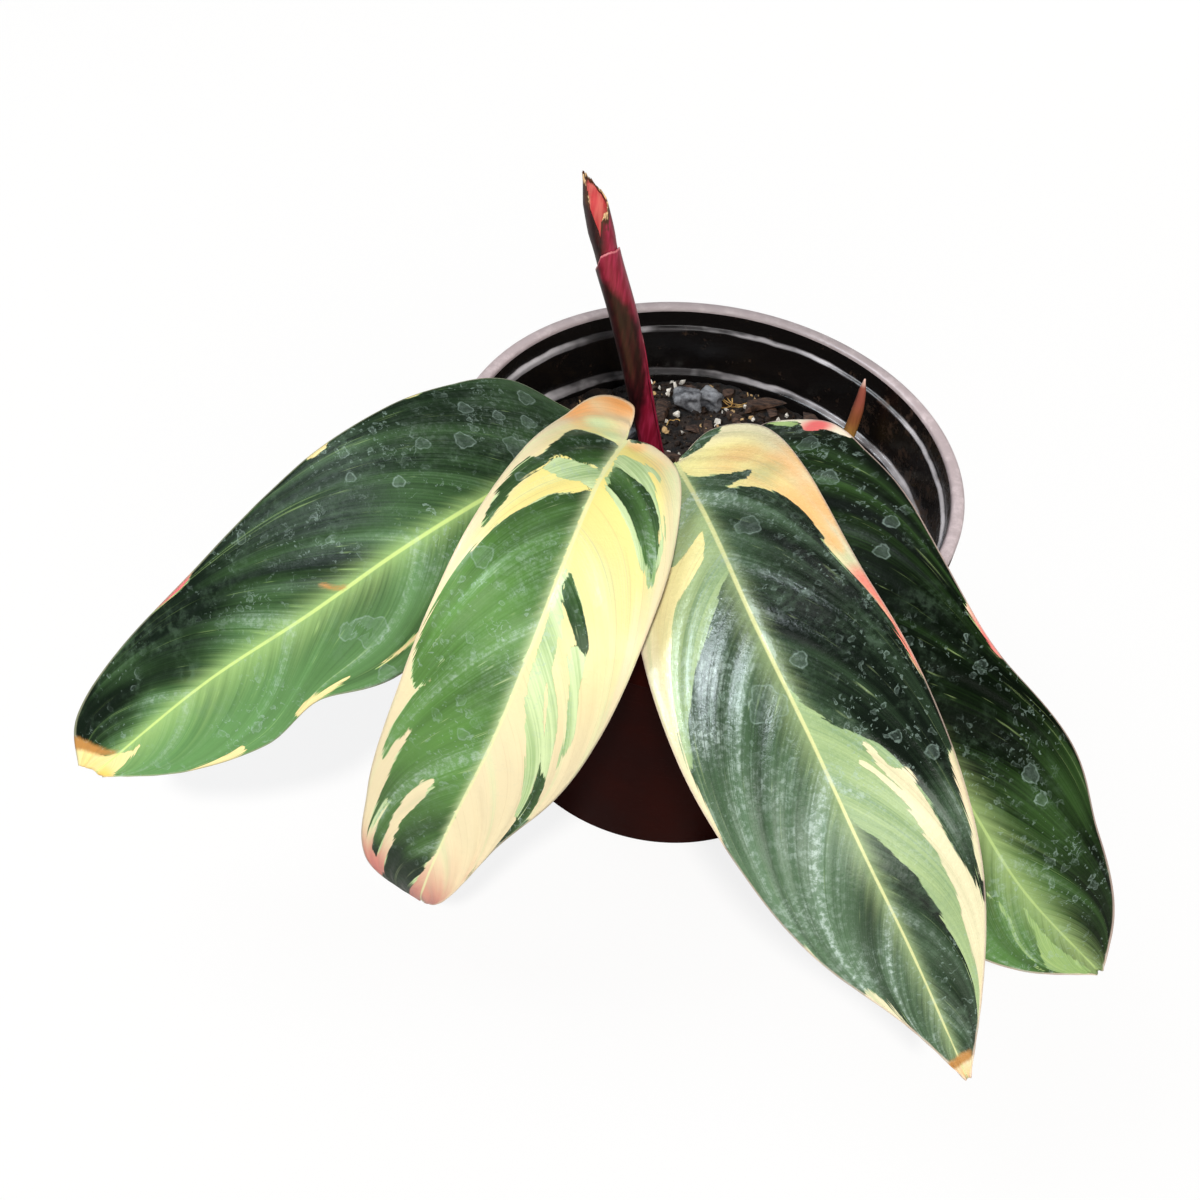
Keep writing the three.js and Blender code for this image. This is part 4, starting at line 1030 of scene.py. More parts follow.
def leaf_marking_group():
    """A blade's colour, the masks of its cream and pale parts, its veins' height and where dust and
    painted glare lie, all from its layers."""
    group, tree, given = new_group(
        "leaf marking", {"Vector": ["Chart", "Patch", "Tint", "Marks"], "Color": [
            "Deep", "Leaf", "Pale", "Cream", "Milk", "Blush", "Rose", "Rib", "Edge"]},
        {"Color": ["Color"], "Float": ["Cream mask", "Pale mask", "Height", "Dust"]})
    vein, out, edge = tree.split(given["Chart"])
    cream_by, pale_by, burn_by = tree.split(given["Patch"])
    blush, glow, shade = tree.split(given["Tint"])
    _, along, fade = tree.split(given["Marks"])
    streaks = {}
    for kind, (wave_along, wave_across, octaves, strength) in STREAKS.items():
        stretched = tree.stretch(given["Chart"], (wave_along, wave_across, 0.0))
        streaks[kind] = (tree.noise(stretched, 1.0, octaves) - 0.5) * (2 * strength)

    def unsettled(key, value=0.0):
        for kind, share in UNSETTLED[key].items():
            value = streaks[kind] * share + value
        return value

    def soft(key, value=0.0):
        return unsettled(key, value).soft(key)

    # The patches end in teeth along the veins, in some places long, in most short.
    long_teeth = streaks["wild"].soft("wild").span("long teeth")
    ragged = streaks["teeth"] * long_teeth + streaks["fray"] * SHARES["ragged fray"]
    halo = cream_by + ragged + streaks["fringe"].larger(0.0)
    cream = (cream_by + ragged).soft("patch")
    pale = (pale_by - ragged).soft("patch").larger(halo.soft("halo"))
    # Green parts have broad soft bands between the side veins, the midrib's feathered glow, and thin
    # light lines along some of the veins.
    green = tree.blend(soft("light", shade), given["Deep"], given["Leaf"])
    line = abs(streaks["lines"]).soft("line") * streaks["breaks"].soft("line part")
    green = tree.paint(green, (soft("glow", glow), given["Pale"]), (line, given["Pale"]))
    # Pale parts keep some green along their veins. Cream parts turn milky towards tip and margin,
    # have milky and faded streaks, two blushes and fine tan veins.
    pale_tone = tree.blend(soft("veined"), given["Pale"], given["Leaf"])
    uneven = unsettled("uneven") * blush.span("uneven blush")
    cream_tone = tree.paint(
        given["Cream"], (along.soft("tip").larger(soft("border", edge)), given["Milk"]),
        (soft("milky"), given["Pale"]), ((blush + uneven).soft("warm"), given["Blush"]),
        (soft("rosy", blush * -1.0), given["Rose"]), (soft("faded", fade), given["Pale"]),
        (soft("tan"), TONES["tan vein"]))
    # The margin is a thin pale line; the midrib is another, which narrows towards the tip.
    rib = (abs(out) / vein.span("rib width")).soft("rib")
    colour = tree.paint(
        green, (pale, pale_tone), (cream, cream_tone), (soft("margin", edge), given["Edge"]),
        (rib, given["Rib"]), (soft("burn", burn_by), TONES["burn"]))
    # Dust, with painted glare in it, lies in streaks along the veins where the green is light, and
    # thick where the leaf fades.
    dust = (soft("streaky") * shade.soft("dusty")).larger(soft("thick dust and glare") * fade)
    tree.node("NodeGroupOutput", {
        "Color": colour, "Cream mask": cream, "Pale mask": pale, "Height": streaks["fine"], "Dust": dust})
    return group


def use_marking(tree, marking, palette):
    values = {title: tree.layer(title.lower()) for title in ("Chart", "Patch", "Tint", "Marks")}
    values.update({key.capitalize(): palette[key] for key in palette if key not in NOT_COLOURS})
    return tree.group(marking, values)


def leaf_top_material(name, palette, marking, marks):
    """The upper face: marked green and cream, satin, with water marks, a film, and dust that also
    paints glare.
    """
    material, tree = new_material(name)
    leaf = use_marking(tree, marking, palette)
    spots = tree.group(marks, {"Place": tree.place()})
    scuff, on_green = spots["Scuff"], leaf["Cream mask"].span("off the cream")
    near = tree.split(tree.layer("marks"))[0]
    large = abs(near).soft("ring line").larger(near.soft("ring veil")) * scuff.span("broken mark")
    ring = spots["Mask"].larger(large) * on_green * SHARES["ring"]
    film = spots["Film"] * on_green * palette["film"]
    # The dust also paints glare: pale bluish streaks where gloss would shine.
    dust = leaf["Dust"] * on_green * scuff.span("broken dust and glare") * palette["dust"]
    colour = tree.paint(leaf["Color"], (film, TONES["film"]), (ring, TONES["ring"]), (dust, TONES["dust"]))
    rougher = (spots["Film"] + scuff) * SHARES["rough marks"] + palette["rough"]
    relief = tree.grain("crinkle") + leaf["Height"] * SHARES["vein height"]
    close_material(tree, colour, relief, "leaf top", rougher, {"Specular IOR Level": palette["shine"]})
    return material


def leaf_under_material(name, palette, marking):
    """The lower face: burgundy, rose where the blade is cream."""
    material, tree = new_material(name)
    leaf = use_marking(tree, marking, palette)
    colour = tree.coat(TONES["wine"], leaf["Height"], "wine")
    colour = tree.blend(leaf["Cream mask"], colour, TONES["under cream"])
    colour = tree.blend(leaf["Pale mask"] * SHARES["under pale"], colour, TONES["under pale"])
    close_material(tree, colour, leaf["Height"], "leaf underside", more=UNDER_SHEEN)
    return material


# --- leaves


def patch_fields(name, along, out):
    """For the cream, pale and burnt parts, how far each point lies inside them."""
    fields = {kind: np.full(along.shape, -FAR) for kind in ("cream", "pale", "burn", "green")}
    for kind, outline in PATCHES[name]:
        depth = inside_by(rounded(outline), along, out)
        for other in fields:
            if other == kind:
                fields[other] = np.maximum(fields[other], depth)
            elif kind != "burn":
                fields[other] = np.minimum(fields[other], -depth)
    return fields["cream"], fields["pale"], fields["burn"]


def strongest(spots, along, out, sign=1):
    """The strongest of soft round spots (along, out, reach, strength) with this sign."""
    most = np.zeros(along.shape)
    for spot_along, spot_out, reach, strength in spots:
        far = np.hypot(along - spot_along, out - spot_out) / reach
        most = np.maximum(most, sign * strength * np.exp(-far**2))
    return most


def tint_fields(name, shape, along, out):
    """The blush (below 0 where it is rose), the midrib's glow and the green's lightness."""
    blush = strongest(BLUSHES[name], along, out) - strongest(BLUSHES[name], along, out, sign=-1)
    widths = PALETTES[name]["glow"]
    share = along / shape.length
    width = np.where(out > 0, spread(widths["left"], share), spread(widths["right"], share))
    glow = np.exp(-np.abs(out) / np.maximum(width, LEAST_GLOW))
    weight, light = 0.0, 0.0
    for spot_along, spot_out, reach, value in SHADES[name]:
        far = np.hypot(along - spot_along, out - spot_out) / reach
        near = np.exp(-far**2) + LEAST_WEIGHT
        weight, light = weight + near, light + near * value
    return blush, glow, light / weight


def ring_field(name, along, out):
    """How far each point is from the outline of the nearest large water mark; negative inside it."""
    off = np.full(along.shape, FAR)
    for ring_along, ring_out, radius in RINGS[name]:
        dx, dy = along - ring_along, out - ring_out
        bearing = np.arctan2(dy, dx)
        wobble = 1 + sum(share * np.sin(bumps * bearing + shift * radius)
                         for bumps, share, shift in RING_WOBBLE)
        beyond = np.hypot(dx, dy) - radius * wobble
        off = np.where(np.abs(beyond) < np.abs(off), beyond, off)
    return off


def relief_of(name, shape, veins, across, t):
    """Height of the upper face: pleats between the side veins, and the midrib's groove."""
    seed = sum(map(ord, name)) % RELIEF["seeds"]
    drift = RELIEF["drift"] * np.sin(veins / RELIEF["drift_length"] + seed) + RELIEF["slant"] * t
    pleats = sum(height * np.sin(2 * np.pi * veins / length + drift + shift * seed)
                 for height, length, shift in RELIEF["pleats"])
    depth = np.clip(RELIEF["groove_from"] - veins / shape.length, RELIEF["groove_to"], 1)
    groove = RELIEF["groove"] * np.exp(-((across / RELIEF["groove_width"]) ** 2)) * depth
    return pleats * np.sin(np.pi * np.abs(t)) ** RELIEF["rise"] - groove


def make_blade(name, leaf, marking, marks):
    shape = LeafShape(leaf)
    bm = bmesh.new()
    verts, places, shares = grid_shape(bm, BLADE["columns"], BLADE["rows"])
    middle = 2 * places - 1
    t = np.sign(middle) * np.abs(middle) ** BLADE["crowding"]
    u = BLADE["first"] + (BLADE["last"] - BLADE["first"]) * shares
    along, across, half = shape.chart(u, t)
    veins = shape.veins(along, t)
    out = np.where(t < 0, across, -across)
    move_to(verts, shape.surface(u, t, relief_of(name, shape, veins, across, t)))
    bm.normal_update()
    if sum(face.normal.z for face in bm.faces) < 0:
        bmesh.ops.reverse_faces(bm, faces=bm.faces)
    weave = bm.loops.layers.uv.new("leaf")
    places_of = {vert: (share, place) for vert, share, place in zip(verts, shares, places)}
    for face in bm.faces:
        for loop in face.loops:
            loop[weave].uv = places_of[loop.vert]
    mesh = finish_mesh(name, bm)
    write_layer(mesh, "chart", veins, out, half - across)
    write_layer(mesh, "patch", *patch_fields(name, along, out))
    write_layer(mesh, "tint", *tint_fields(name, shape, along, out))
    write_layer(mesh, "marks", ring_field(name, along, out), along, strongest(FADES[name], along, out))
    palette = PALETTES[name]
    top = leaf_top_material(name + " top", palette, marking, marks)
    under = leaf_under_material(name + " underside", palette, marking)
    piece = add_piece(name + "_sheet", mesh, "blade_tissue", top, under, stands_for=[name + "_blade"])
    thicken(piece, BLADE["thickness"])
    return shape


def stalk_course(leaf, shape):
    """From the rhizome up to the blade and on under it, and the free share of its length."""
    keel_length = STALK["keel_share"] * shape.length
    stations = [s for s in STALK["stations"] if s < keel_length - STALK["last_step"]] + [keel_length]
    centre, _, _, upper = shape.frame(stations)
    radius = np.interp(stations, (0, keel_length), (STALK["keel"], STALK["keel_end"]))
    keel = centre - upper * (BLADE["thickness"] / 2 + STALK["keel_gap"] + radius)[:, None]
    base, tangent, _, up = (row[0] for row in shape.frame([0.0]))
    foot = np.array([*leaf["foot"], CROWN[2] + STALK["foot_rise"]])
    joint = base - tangent * STALK["joint_back"] - up * STALK["joint_drop"]
    neck = foot + (joint - foot) * STALK["neck_lean"]
    neck[2] = SOIL["level"] + STALK["neck_rise"]
    course = Course(centripetal([foot, neck, joint, *keel]), STALK["samples"])
    return course, (course.length - keel_length) / course.length


def make_stalk(name, leaf, shape, material):
    course, free = stalk_course(leaf, shape)
    radii = [(0, STALK["foot"]), (free * STALK["neck_from"], STALK["neck"]),
             (free * STALK["neck_to"], STALK["neck"]), (free * STALK["joint_at"], STALK["joint"]),
             (free * STALK["keel_at"], STALK["keel"]), (1, STALK["keel_end"])]
    mesh = bar_piece(name, course, lambda share: graph(radii, share), STALK["sides"], STALK["rings"])
    add_piece(name, mesh, "stalk_tissue", material, stands_for=[name.replace("_petiole", "_stalk")])


def stalk_material():
    material, tree = new_material("petiole skin")
    streak = tree.grain("petiole streak", ALONG_STALK)
    colour = tree.coat(tree.two_tones(streak, "petiole"), tree.grain("petiole blotch"), "blotch")
    close_material(tree, colour, streak, "petiole")
    return material


# --- rolled leaf and sprout


def add_wrap(bm, course, wrap):
    """Adds one sheet wound round the rolled leaf's axis; returns for its points how dark they are,
    how far below the sheet's top edge, and whether that edge is dry."""
    verts, across, up = grid_shape(bm, *ROLLED_LEAF["cells"])
    teeth = sum(size * np.sin(across * waves + shift) for size, waves, shift in ROLLED_LEAF["teeth"])
    top = graph(wrap["top"], across) + teeth * wrap["ragged"]
    share = up * top
    first, last = graph(wrap["first"], share), graph(wrap["last"], share)
    bearing = first + (last - first) * across
    size, up_waves, across_waves = ROLLED_LEAF["swell"]
    swell = 1 + size * np.sin(up * up_waves + across * across_waves)
    ends, blur = ROLLED_LEAF["overlap_end"]
    overlap = wrap["overlap"] * (1 - across) * np.clip((ends - share) / blur, 0, 1)
    out = graph(ROLLED_LEAF["profile"], share) * swell - graph(wrap["inset"], share) - overlap
    move_to(verts, round_course(course, share, out, np.radians(bearing)))
    bmesh.ops.reverse_faces(bm, faces=list({face for vert in verts for face in vert.link_faces}))
    turned = (bearing + 180) % 360 - 180
    dark = np.clip((graph(wrap["dark"], share) - turned) / ROLLED_LEAF["dark_blur"] + 0.5, 0, 1)
    dark = dark * (turned > ROLLED_LEAF["dark_from"])
    return dark, (1 - up) * top * course.length, np.full(share.shape, wrap["dry"])


def make_rolled_leaf():
    course = Course(ROLLED_LEAF["axis"])
    bm = bmesh.new()
    layers = [add_wrap(bm, course, ROLLED_LEAF[key]) for key in ("inner", "outer")]
    mesh = finish_mesh("rolled_leaf_wraps", bm)
    write_layer(mesh, "chart", *np.concatenate(layers, axis=1))
    piece = add_piece("rolled_leaf_wraps", mesh, "rolled_tissue", rolled_skin(), rolled_lining(),
                      stands_for=["rolled_leaf"])
    thicken(piece, ROLLED_LEAF["sheet"])


def rolled_skin():
    """Magenta to dark burgundy, with a painted lit edge at the top."""
    material, tree = new_material("rolled leaf skin")
    dark, below, dries = tree.split(tree.layer("chart"))
    cloud, streak = tree.grain("roll cloud"), tree.grain("roll skin", ALONG_ROLL)
    dull = (dark + (cloud - 0.5) * SHARES["roll wander"]).soft("dark side")
    colour = tree.blend(dull, tree.two_tones(streak, "roll skin"), tree.two_tones(streak, "roll dark"))
    # Painted light: a pale pink lit edge just below the top.
    colour = tree.coat(colour, below, "lit edge")
    close_material(tree, dry_top(tree, colour, below, dries, cloud), streak, "roll skin")
    return material


def rolled_lining():
    """The salmon inner face."""
    material, tree = new_material("rolled leaf lining")
    _, below, dries = tree.split(tree.layer("chart"))
    cloud, streak = tree.grain("roll cloud"), tree.grain("roll lining", ALONG_ROLL)
    colour = dry_top(tree, tree.two_tones(streak, "roll lining"), below, dries, cloud)
    close_material(tree, colour, streak, "roll lining")
    return material


def dry_top(tree, colour, below, dries, cloud):
    """Dries the topmost few millimetres of the inner sheet to brown, with a tan edge."""
    reach = below / ROLLED_LEAF["dry_reach"] + (cloud - 0.5) * SHARES["dry wander"]
    return tree.paint(colour, (reach.rise(*ROLLED_LEAF["dry"]) * dries, TONES["dry"]),
                      (reach.rise(*ROLLED_LEAF["dry_edge"]) * dries, TONES["dry edge"]))


def make_sprout():
    def lapped(angle, share):
        turns = angle / (2 * np.pi) + SPROUT["lap_turns"] * share
        return 1 + SPROUT["lap"] * (turns - np.floor(turns) - 0.5)

    mesh = bar_piece("sprout_shoot", Course(SPROUT["axis"]), lambda share: graph(SPROUT["profile"], share),
                     SPROUT["sides"], SPROUT["rings"], lapped)
    material, tree = new_material("sprout skin")
    height = tree.split(tree.place())[2]
    streak = tree.grain("sprout streak", ALONG_SPROUT)
    colour = tree.coat(TONES["sprout foot"], height, "sprout mid")
    colour = tree.coat(colour, height, "sprout top")
    colour = tree.coat(colour, streak, "sprout streak")
    close_material(tree, tree.coat(colour, height, "sprout tip"), streak, "sprout")
    add_piece("sprout_shoot", mesh, "sprout_tissue", material, stands_for=["sprout"])


# --- pot


def pot_profile():
    """Half of the pot's section as (radius, height, bend), from the middle of the underside round to
    the middle of the floor; the bend is how far a corner is rounded along its sides."""
    height, wall, floor, slack = POT["height"], POT["wall"], POT["floor"], POT["slack"]
    rim, rim_inner = POT["rim_radius"], POT["rim_inner"]
    lip, collar = height - POT["lip_depth"], height - POT["collar_depth"]
    inner_collar, inner_shoulder = POT["collar_radius"] - wall, POT["shoulder_radius"] - wall
    foot, base, inner_base = POT["foot_radius"], POT["base_radius"], POT["base_radius"] - wall
    return [
        (0, POT["hollow"], 0), (foot, POT["hollow"], 0.4), (foot, 0, 0.4), (base, 0, 1),
        (POT["shoulder_radius"], collar - POT["collar_slope"], 0.2), (POT["collar_radius"], collar, 0.4),
        (POT["collar_radius"], lip - POT["lip_under"], 0.3), (rim, lip, 0.8), (rim, height, 1.3),
        (rim_inner, height, 1.4), (rim_inner - slack, lip - 2 * slack, 0.9),
        (inner_collar, lip - 4 * slack, 0.9), (inner_collar, collar - slack, 1.1),
        (inner_shoulder, collar - 2 * slack, 1.1), (inner_base, floor, 1.2), (0, floor, 0),
    ]


def bent_corners(profile):
    """The profile as plain points, with its corners drawn round."""
    path = []
    for i, (radius, z, bend) in enumerate(profile):
        corner = np.array((radius, z), float)
        if not bend:
            path.append(corner)
            continue
        ways = [np.array(profile[i + k][:2], float) - corner for k in (-1, 1)]
        enter, leave = (corner + way * min(bend / np.linalg.norm(way), POT["most_bend"]) for way in ways)
        for w in np.linspace(0, 1, POT["bend_pieces"]):
            path.append(enter * (1 - w) ** 2 + 2 * corner * w * (1 - w) + leave * w**2)
    return path


def pot_face(centre, normal):
    """The number of the material of a face of the pot: 0 inside, 1 on the lip, 2 outside."""
    if centre.z > (POT["height"] - POT["lip_top"]) * MM:
        return 1
    if centre.z < POT["underside"] * MM:
        return 2
    outward = normal.x * centre.x + normal.y * centre.y > 0
    beyond = math.hypot(centre.x, centre.y) > (POT["collar_radius"] - POT["wall"] / 2) * MM
    below_collar = centre.z < (POT["height"] - POT["collar_depth"] - POT["collar_under"]) * MM
    return 2 if outward and (beyond or below_collar) else 0


def make_pot():
    bm = bmesh.new()
    profile = [bm.verts.new((radius * MM, 0, z * MM)) for radius, z in bent_corners(pot_profile())]
    edges = [bm.edges.new(pair) for pair in zip(profile, profile[1:])]
    bmesh.ops.spin(bm, geom=profile + edges, cent=(0, 0, 0), axis=(0, 0, 1), dvec=(0, 0, 0),
                   angle=FULL_TURN, steps=POT["steps"], use_merge=True, use_duplicate=False)
    bmesh.ops.remove_doubles(bm, verts=bm.verts, dist=MERGED)
    bmesh.ops.recalc_face_normals(bm, faces=bm.faces)
    shell = show("pot_shell", finish_mesh("pot_shell", bm, sharp=POT["sharp_from"]))
    cut_drain_holes(shell)
    for material in (pot_inside(), pot_lip(), pot_outside()):
        shell.data.materials.append(material)
    for face in shell.data.polygons:
        face.material_index = pot_face(face.center, face.normal)
    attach(shell, "root")
    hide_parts("pot")


def cut_drain_holes(shell):
    """Cuts the drain holes, and keeps the cut mesh without its modifier."""
    bm = bmesh.new()
    radius = DRAIN["radius"] * MM
    for i in range(DRAIN["count"]):
        angle = FULL_TURN * (i + 0.5) / DRAIN["count"]
        spot = Matrix.Translation(Vector((math.cos(angle), math.sin(angle), 0)) * DRAIN["ring"] * MM)
        bmesh.ops.create_cone(bm, cap_ends=True, segments=DRAIN["sides"], radius1=radius, radius2=radius,
                              depth=DRAIN["depth"] * MM, matrix=spot)
    plugs = show("plugs", finish_mesh("plugs", bm))
    cut = shell.modifiers.new("holes", "BOOLEAN")
    cut.object = plugs
    cut.operation = "DIFFERENCE"
    cut.solver = "EXACT"
    ready = shell.evaluated_get(bpy.context.evaluated_depsgraph_get())
    mesh = bpy.data.meshes.new_from_object(ready)
    shell.modifiers.clear()
    shell.data = mesh
    bpy.data.objects.remove(plugs)


def pot_inside():
    """Glossy black, dusty with soil, and with painted highlights in light grey along its two ledges."""
    material, tree = new_material("pot inside")
    across, _, height = tree.split(tree.place())
    dust = (tree.grain("pot dust") + across.soft("rightward")).soft("pot dust")
    wavy = height + tree.grain("pot wave").span("wavy band")
    wide = wavy + across.soft("wide band")
    # Painted highlight: light grey bands along the two ledges, wider towards the left and broken by noise.
    ledge_glints = 0.0
    for low, high in POT["ledge_glints"]:
        band = wide.rise(low, low + POT["glint_edge"]) * wavy.rise(high, high - POT["glint_edge"])
        ledge_glints = band.larger(ledge_glints)
    colour = tree.paint(TONES["pot inside"], (dust * SHARES["dust colour"], TONES["pot dust"]),
                        (ledge_glints * tree.grain("ledge glint breaks").span("ledge glint share"), TONES["painted ledge glint"]))
    close_material(tree, colour, tree.grain("pot dimple"), "pot inside", dust * SHARES["dust rough"])
    return material


def pot_lip():
    """Satin lavender grey, scuffed, and darker at the back with painted shade."""
    material, tree = new_material("pot lip")
    scuff = tree.grain("lip scuff", ROUND_LIP).soft("lip scuff")
    colour = tree.blend(scuff, TONES["lip"], TONES["lip scuff"])
    # Painted shade: the lip darkens towards the back.
    colour = tree.coat(colour, tree.split(tree.place())[1], "behind")
    close_material(tree, colour, scuff, "pot lip", scuff * SHARES["scuff rough"])
    return material


def pot_outside():
    """Dull red-black, with faint scratches; from the collar's top up over the lip's outer face it is
    greyer and lighter, painted light.
    """
    material, tree = new_material("pot outside")
    cloud = tree.grain("pot cloud")
    scratch = tree.grain("pot scratch", ROUND_POT).soft("pot scratch")
    colour = tree.coat(TONES["pot body"], cloud, "pot body")
    # Painted light: the collar's top and the lip's outer face are made lighter, as if lit.
    colour = tree.coat(colour, tree.split(tree.place())[2], "painted lit lip face")
    colour = tree.blend(scratch * SHARES["scratch colour"], colour, TONES["pot scratch"])
    close_material(tree, colour, cloud + scratch, "pot outside", cloud * SHARES["cloud rough"], POT_GLEAM)
    return material


# --- soil


def soil_height(x, y):
    """The soil's level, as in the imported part."""
    from_crown = math.hypot(x - CROWN[0], y - CROWN[1])
    mound = SOIL["mound"] * math.exp(-((from_crown / SOIL["mound_radius"]) ** 2))
    bx, by, bp = SOIL["broad"]
    fx, fy, fp = SOIL["fine"]
    waves = math.sin(bx * x + bp) * math.cos(by * y)
    waves += SOIL["fine_share"] * math.sin(fx * x + fy * y + fp)
    return SOIL["level"] + mound + SOIL["roughness"] * waves


def lumpy(x, y):
    """The level with clods and crumbs on it."""
    level = soil_height(x, y)
    for size, seed, dimension, lacunarity, height in CLODS:
        level += height * noise.fractal(Vector((x, y, seed)) / size, dimension, lacunarity, CLOD_OCTAVES)
    return level


def make_soil_bed():
    bm = bmesh.new()
    verts, x, y = grid_shape(bm, SOIL["cells"], SOIL["cells"])
    x, y = 2 * x - 1, 2 * y - 1
    east = x * np.sqrt(1 - y**2 / 2) * SOIL["top_radius"]
    north = y * np.sqrt(1 - x**2 / 2) * SOIL["top_radius"]
    for vert, px, py in zip(verts, east, north):
        vert.co = Vector((px, py, lumpy(px, py))) * MM
    rim = [edge for edge in bm.edges if edge.is_boundary]
    made = bmesh.ops.extrude_edge_only(bm, edges=rim)["geom"]
    narrow = SOIL["bottom_radius"] / SOIL["top_radius"]
    for vert in [item for item in made if isinstance(item, bmesh.types.BMVert)]:
        vert.co = Vector((vert.co.x * narrow, vert.co.y * narrow, SOIL["floor"] * MM))
    bmesh.ops.holes_fill(bm, edges=[edge for edge in bm.edges if edge.is_boundary])
    bmesh.ops.recalc_face_normals(bm, faces=bm.faces)
    add_piece("soil_bed", finish_mesh("soil_bed", bm), "soil_mix", peat_material(), stands_for=["soil"])


def peat_material():
    material, tree = new_material("peat")
    clod, grit = tree.grain("clod"), tree.grain("grit")
    colour = tree.coat(tree.coat(TONES["peat"], clod, "peat clod"), grit, "peat grit")
    close_material(tree, colour, clod + grit * SHARES["grit height"], "peat")
    return material


def chip(bm, rolls, spot, size, corners):
    """Adds a broken lump: the hull of points drawn in a box, laid at the spot."""
    made = [bm.verts.new([rolls.uniform(-1, 1) * s for s in size]) for _ in range(corners)]
    hull = bmesh.ops.convex_hull(bm, input=made)
    spare = {item for key in ("geom_interior", "geom_unused") for item in hull[key]}
    bmesh.ops.delete(bm, geom=[v for v in spare if isinstance(v, bmesh.types.BMVert)], context="VERTS")
    turn = Matrix.Rotation(rolls.uniform(0, FULL_TURN), 4, "Z")
    tilt = Matrix.Rotation(rolls.uniform(-CHIP_TILT, CHIP_TILT), 4, "X")
    laid = Matrix.Translation(Vector(spot) * MM) @ (turn @ tilt) @ Matrix.Scale(MM, 4)
    bmesh.ops.transform(bm, matrix=laid, verts=[vert for vert in made if vert.is_valid])


def lump(bm, spot, size, heading, seed):
    """Adds a worn lump with flattened sides, its longer axis turned to the heading."""
    made = bmesh.ops.create_icosphere(bm, subdivisions=LUMP["finish"], radius=1.0)["verts"]
    turn = Matrix.Rotation(math.radians(heading), 3, "Z")
    for vert in made:
        away = vert.co.normalized()
        swell = LUMP["least"] + LUMP["broad"] * noise.noise(away * LUMP["broad_waves"] + Vector((seed, 0, 0)))
        swell += LUMP["fine"] * noise.noise(away * LUMP["fine_waves"])
        flat = min(1.0, LUMP["flat_at"] / max(abs(part) for part in away) ** LUMP["flat_power"])
        shaped = Vector([a * s for a, s in zip(away * swell * flat, size)])
        vert.co = (Vector(spot) + turn @ shaped) * MM


def scatter(rolls, count):
    """Seeded places on the soil, clear of the stalks' feet."""
    for _ in range(count):
        reach = math.sqrt(rolls.uniform(SCATTER["inner"] ** 2, SCATTER["outer"] ** 2))
        angle = rolls.uniform(0, FULL_TURN)
        x, y = reach * math.cos(angle), reach * math.sin(angle)
        if all(math.hypot(x - fx, y - fy) > SCATTER["clear"] for fx, fy in FEET):
            yield x, y


def add_litter(name, bm, look, smooth=False):
    """Puts loose stuff on the soil; what would stick out through the pot's wall is pressed in."""
    for vert in bm.verts:
        reach = math.hypot(vert.co.x, vert.co.y)
        if reach > SOIL["wall_gap"] * MM:
            vert.co.xy *= SOIL["wall_gap"] * MM / reach
    bmesh.ops.recalc_face_normals(bm, faces=bm.faces)
    add_piece(name, finish_mesh(name, bm, smooth=smooth), "soil_mix", litter_material(look))


def litter_material(look):
    """Broken ground stuff: two tones in clouds and grit, in places a rare one, with a rough bump."""
    dark, light, waves, rough, grain, rare = LITTER_LOOKS[look]
    material, tree = new_material(look)
    cloud = tree.noise(tree.place((1.0, grain, 1.0)), waves, *LITTER_NOISE["cloud"])
    grit = tree.noise(tree.place(), waves * LITTER_NOISE["finer"], *LITTER_NOISE["grit"])
    colour = tree.paint(dark, (cloud.rise(*LITTER_LIMITS["cloud"]), light),
                        (grit.rise(*LITTER_LIMITS["grit"]), dark))
    if rare:
        colour = tree.blend(tree.grain("rare crumb").rise(*LITTER_LIMITS["rare"]), colour, rare)
    close_material(tree, colour, cloud + grit * SHARES["litter height"], "litter", rough)
    return material


def make_crumbs(rolls):
    bm = bmesh.new()
    for x, y in scatter(rolls, CRUMBS["count"]):
        radius = rolls.uniform(*CRUMBS["radius"]) * MM
        spot = Matrix.Translation(Vector((x, y, lumpy(x, y) + CRUMBS["lift"])) * MM)
        angle = rolls.uniform(0, CRUMBS["most_turn"])
        turn = Matrix.Rotation(angle, 4, Vector((rolls.random(), rolls.random(), 1)))
        stretch = Matrix.Diagonal((1, rolls.uniform(*CRUMBS["width"]), rolls.uniform(*CRUMBS["height"]), 1))
        bmesh.ops.create_icosphere(bm, subdivisions=1, radius=radius, matrix=spot @ turn @ stretch)
    add_litter("soil_crumbs", bm, "crumbs")


def make_bark(rolls):
    bm = bmesh.new()
    for x, y, *size in BARK_PLACES:
        chip(bm, rolls, (x, y, lumpy(x, y) + PLAIN_BARK["lift"]), size, PLAIN_BARK["corners"])
    for x, y in scatter(rolls, BARK["count"]):
        grow = rolls.uniform(*BARK["grow"])
        size = [side * grow for side in BARK["size"]]
        chip(bm, rolls, (x, y, lumpy(x, y) + BARK["lift"]), size, BARK["corners"])
    add_litter("bark_chips", bm, "bark")


def make_charcoal(rolls):
    bm = bmesh.new()
    for i, (x, y, *size, heading) in enumerate(CHARCOAL_PLACES):
        z = soil_height(x, y) + PLAIN_CHARCOAL["lift_share"] * size[2]
        lump(bm, (x, y, z), size, heading, PLAIN_CHARCOAL["seeds"] * i)
    for i, (x, y) in enumerate(scatter(rolls, CHARCOAL["count"])):
        grow = rolls.uniform(*CHARCOAL["grow"])
        size = [side * grow for side in CHARCOAL["size"]]
        z = soil_height(x, y) + CHARCOAL["lift"]
        lump(bm, (x, y, z), size, CHARCOAL["turn"] * i, CHARCOAL["seeds"] * i)
    add_litter("charcoal_chips", bm, "charcoal", smooth=True)


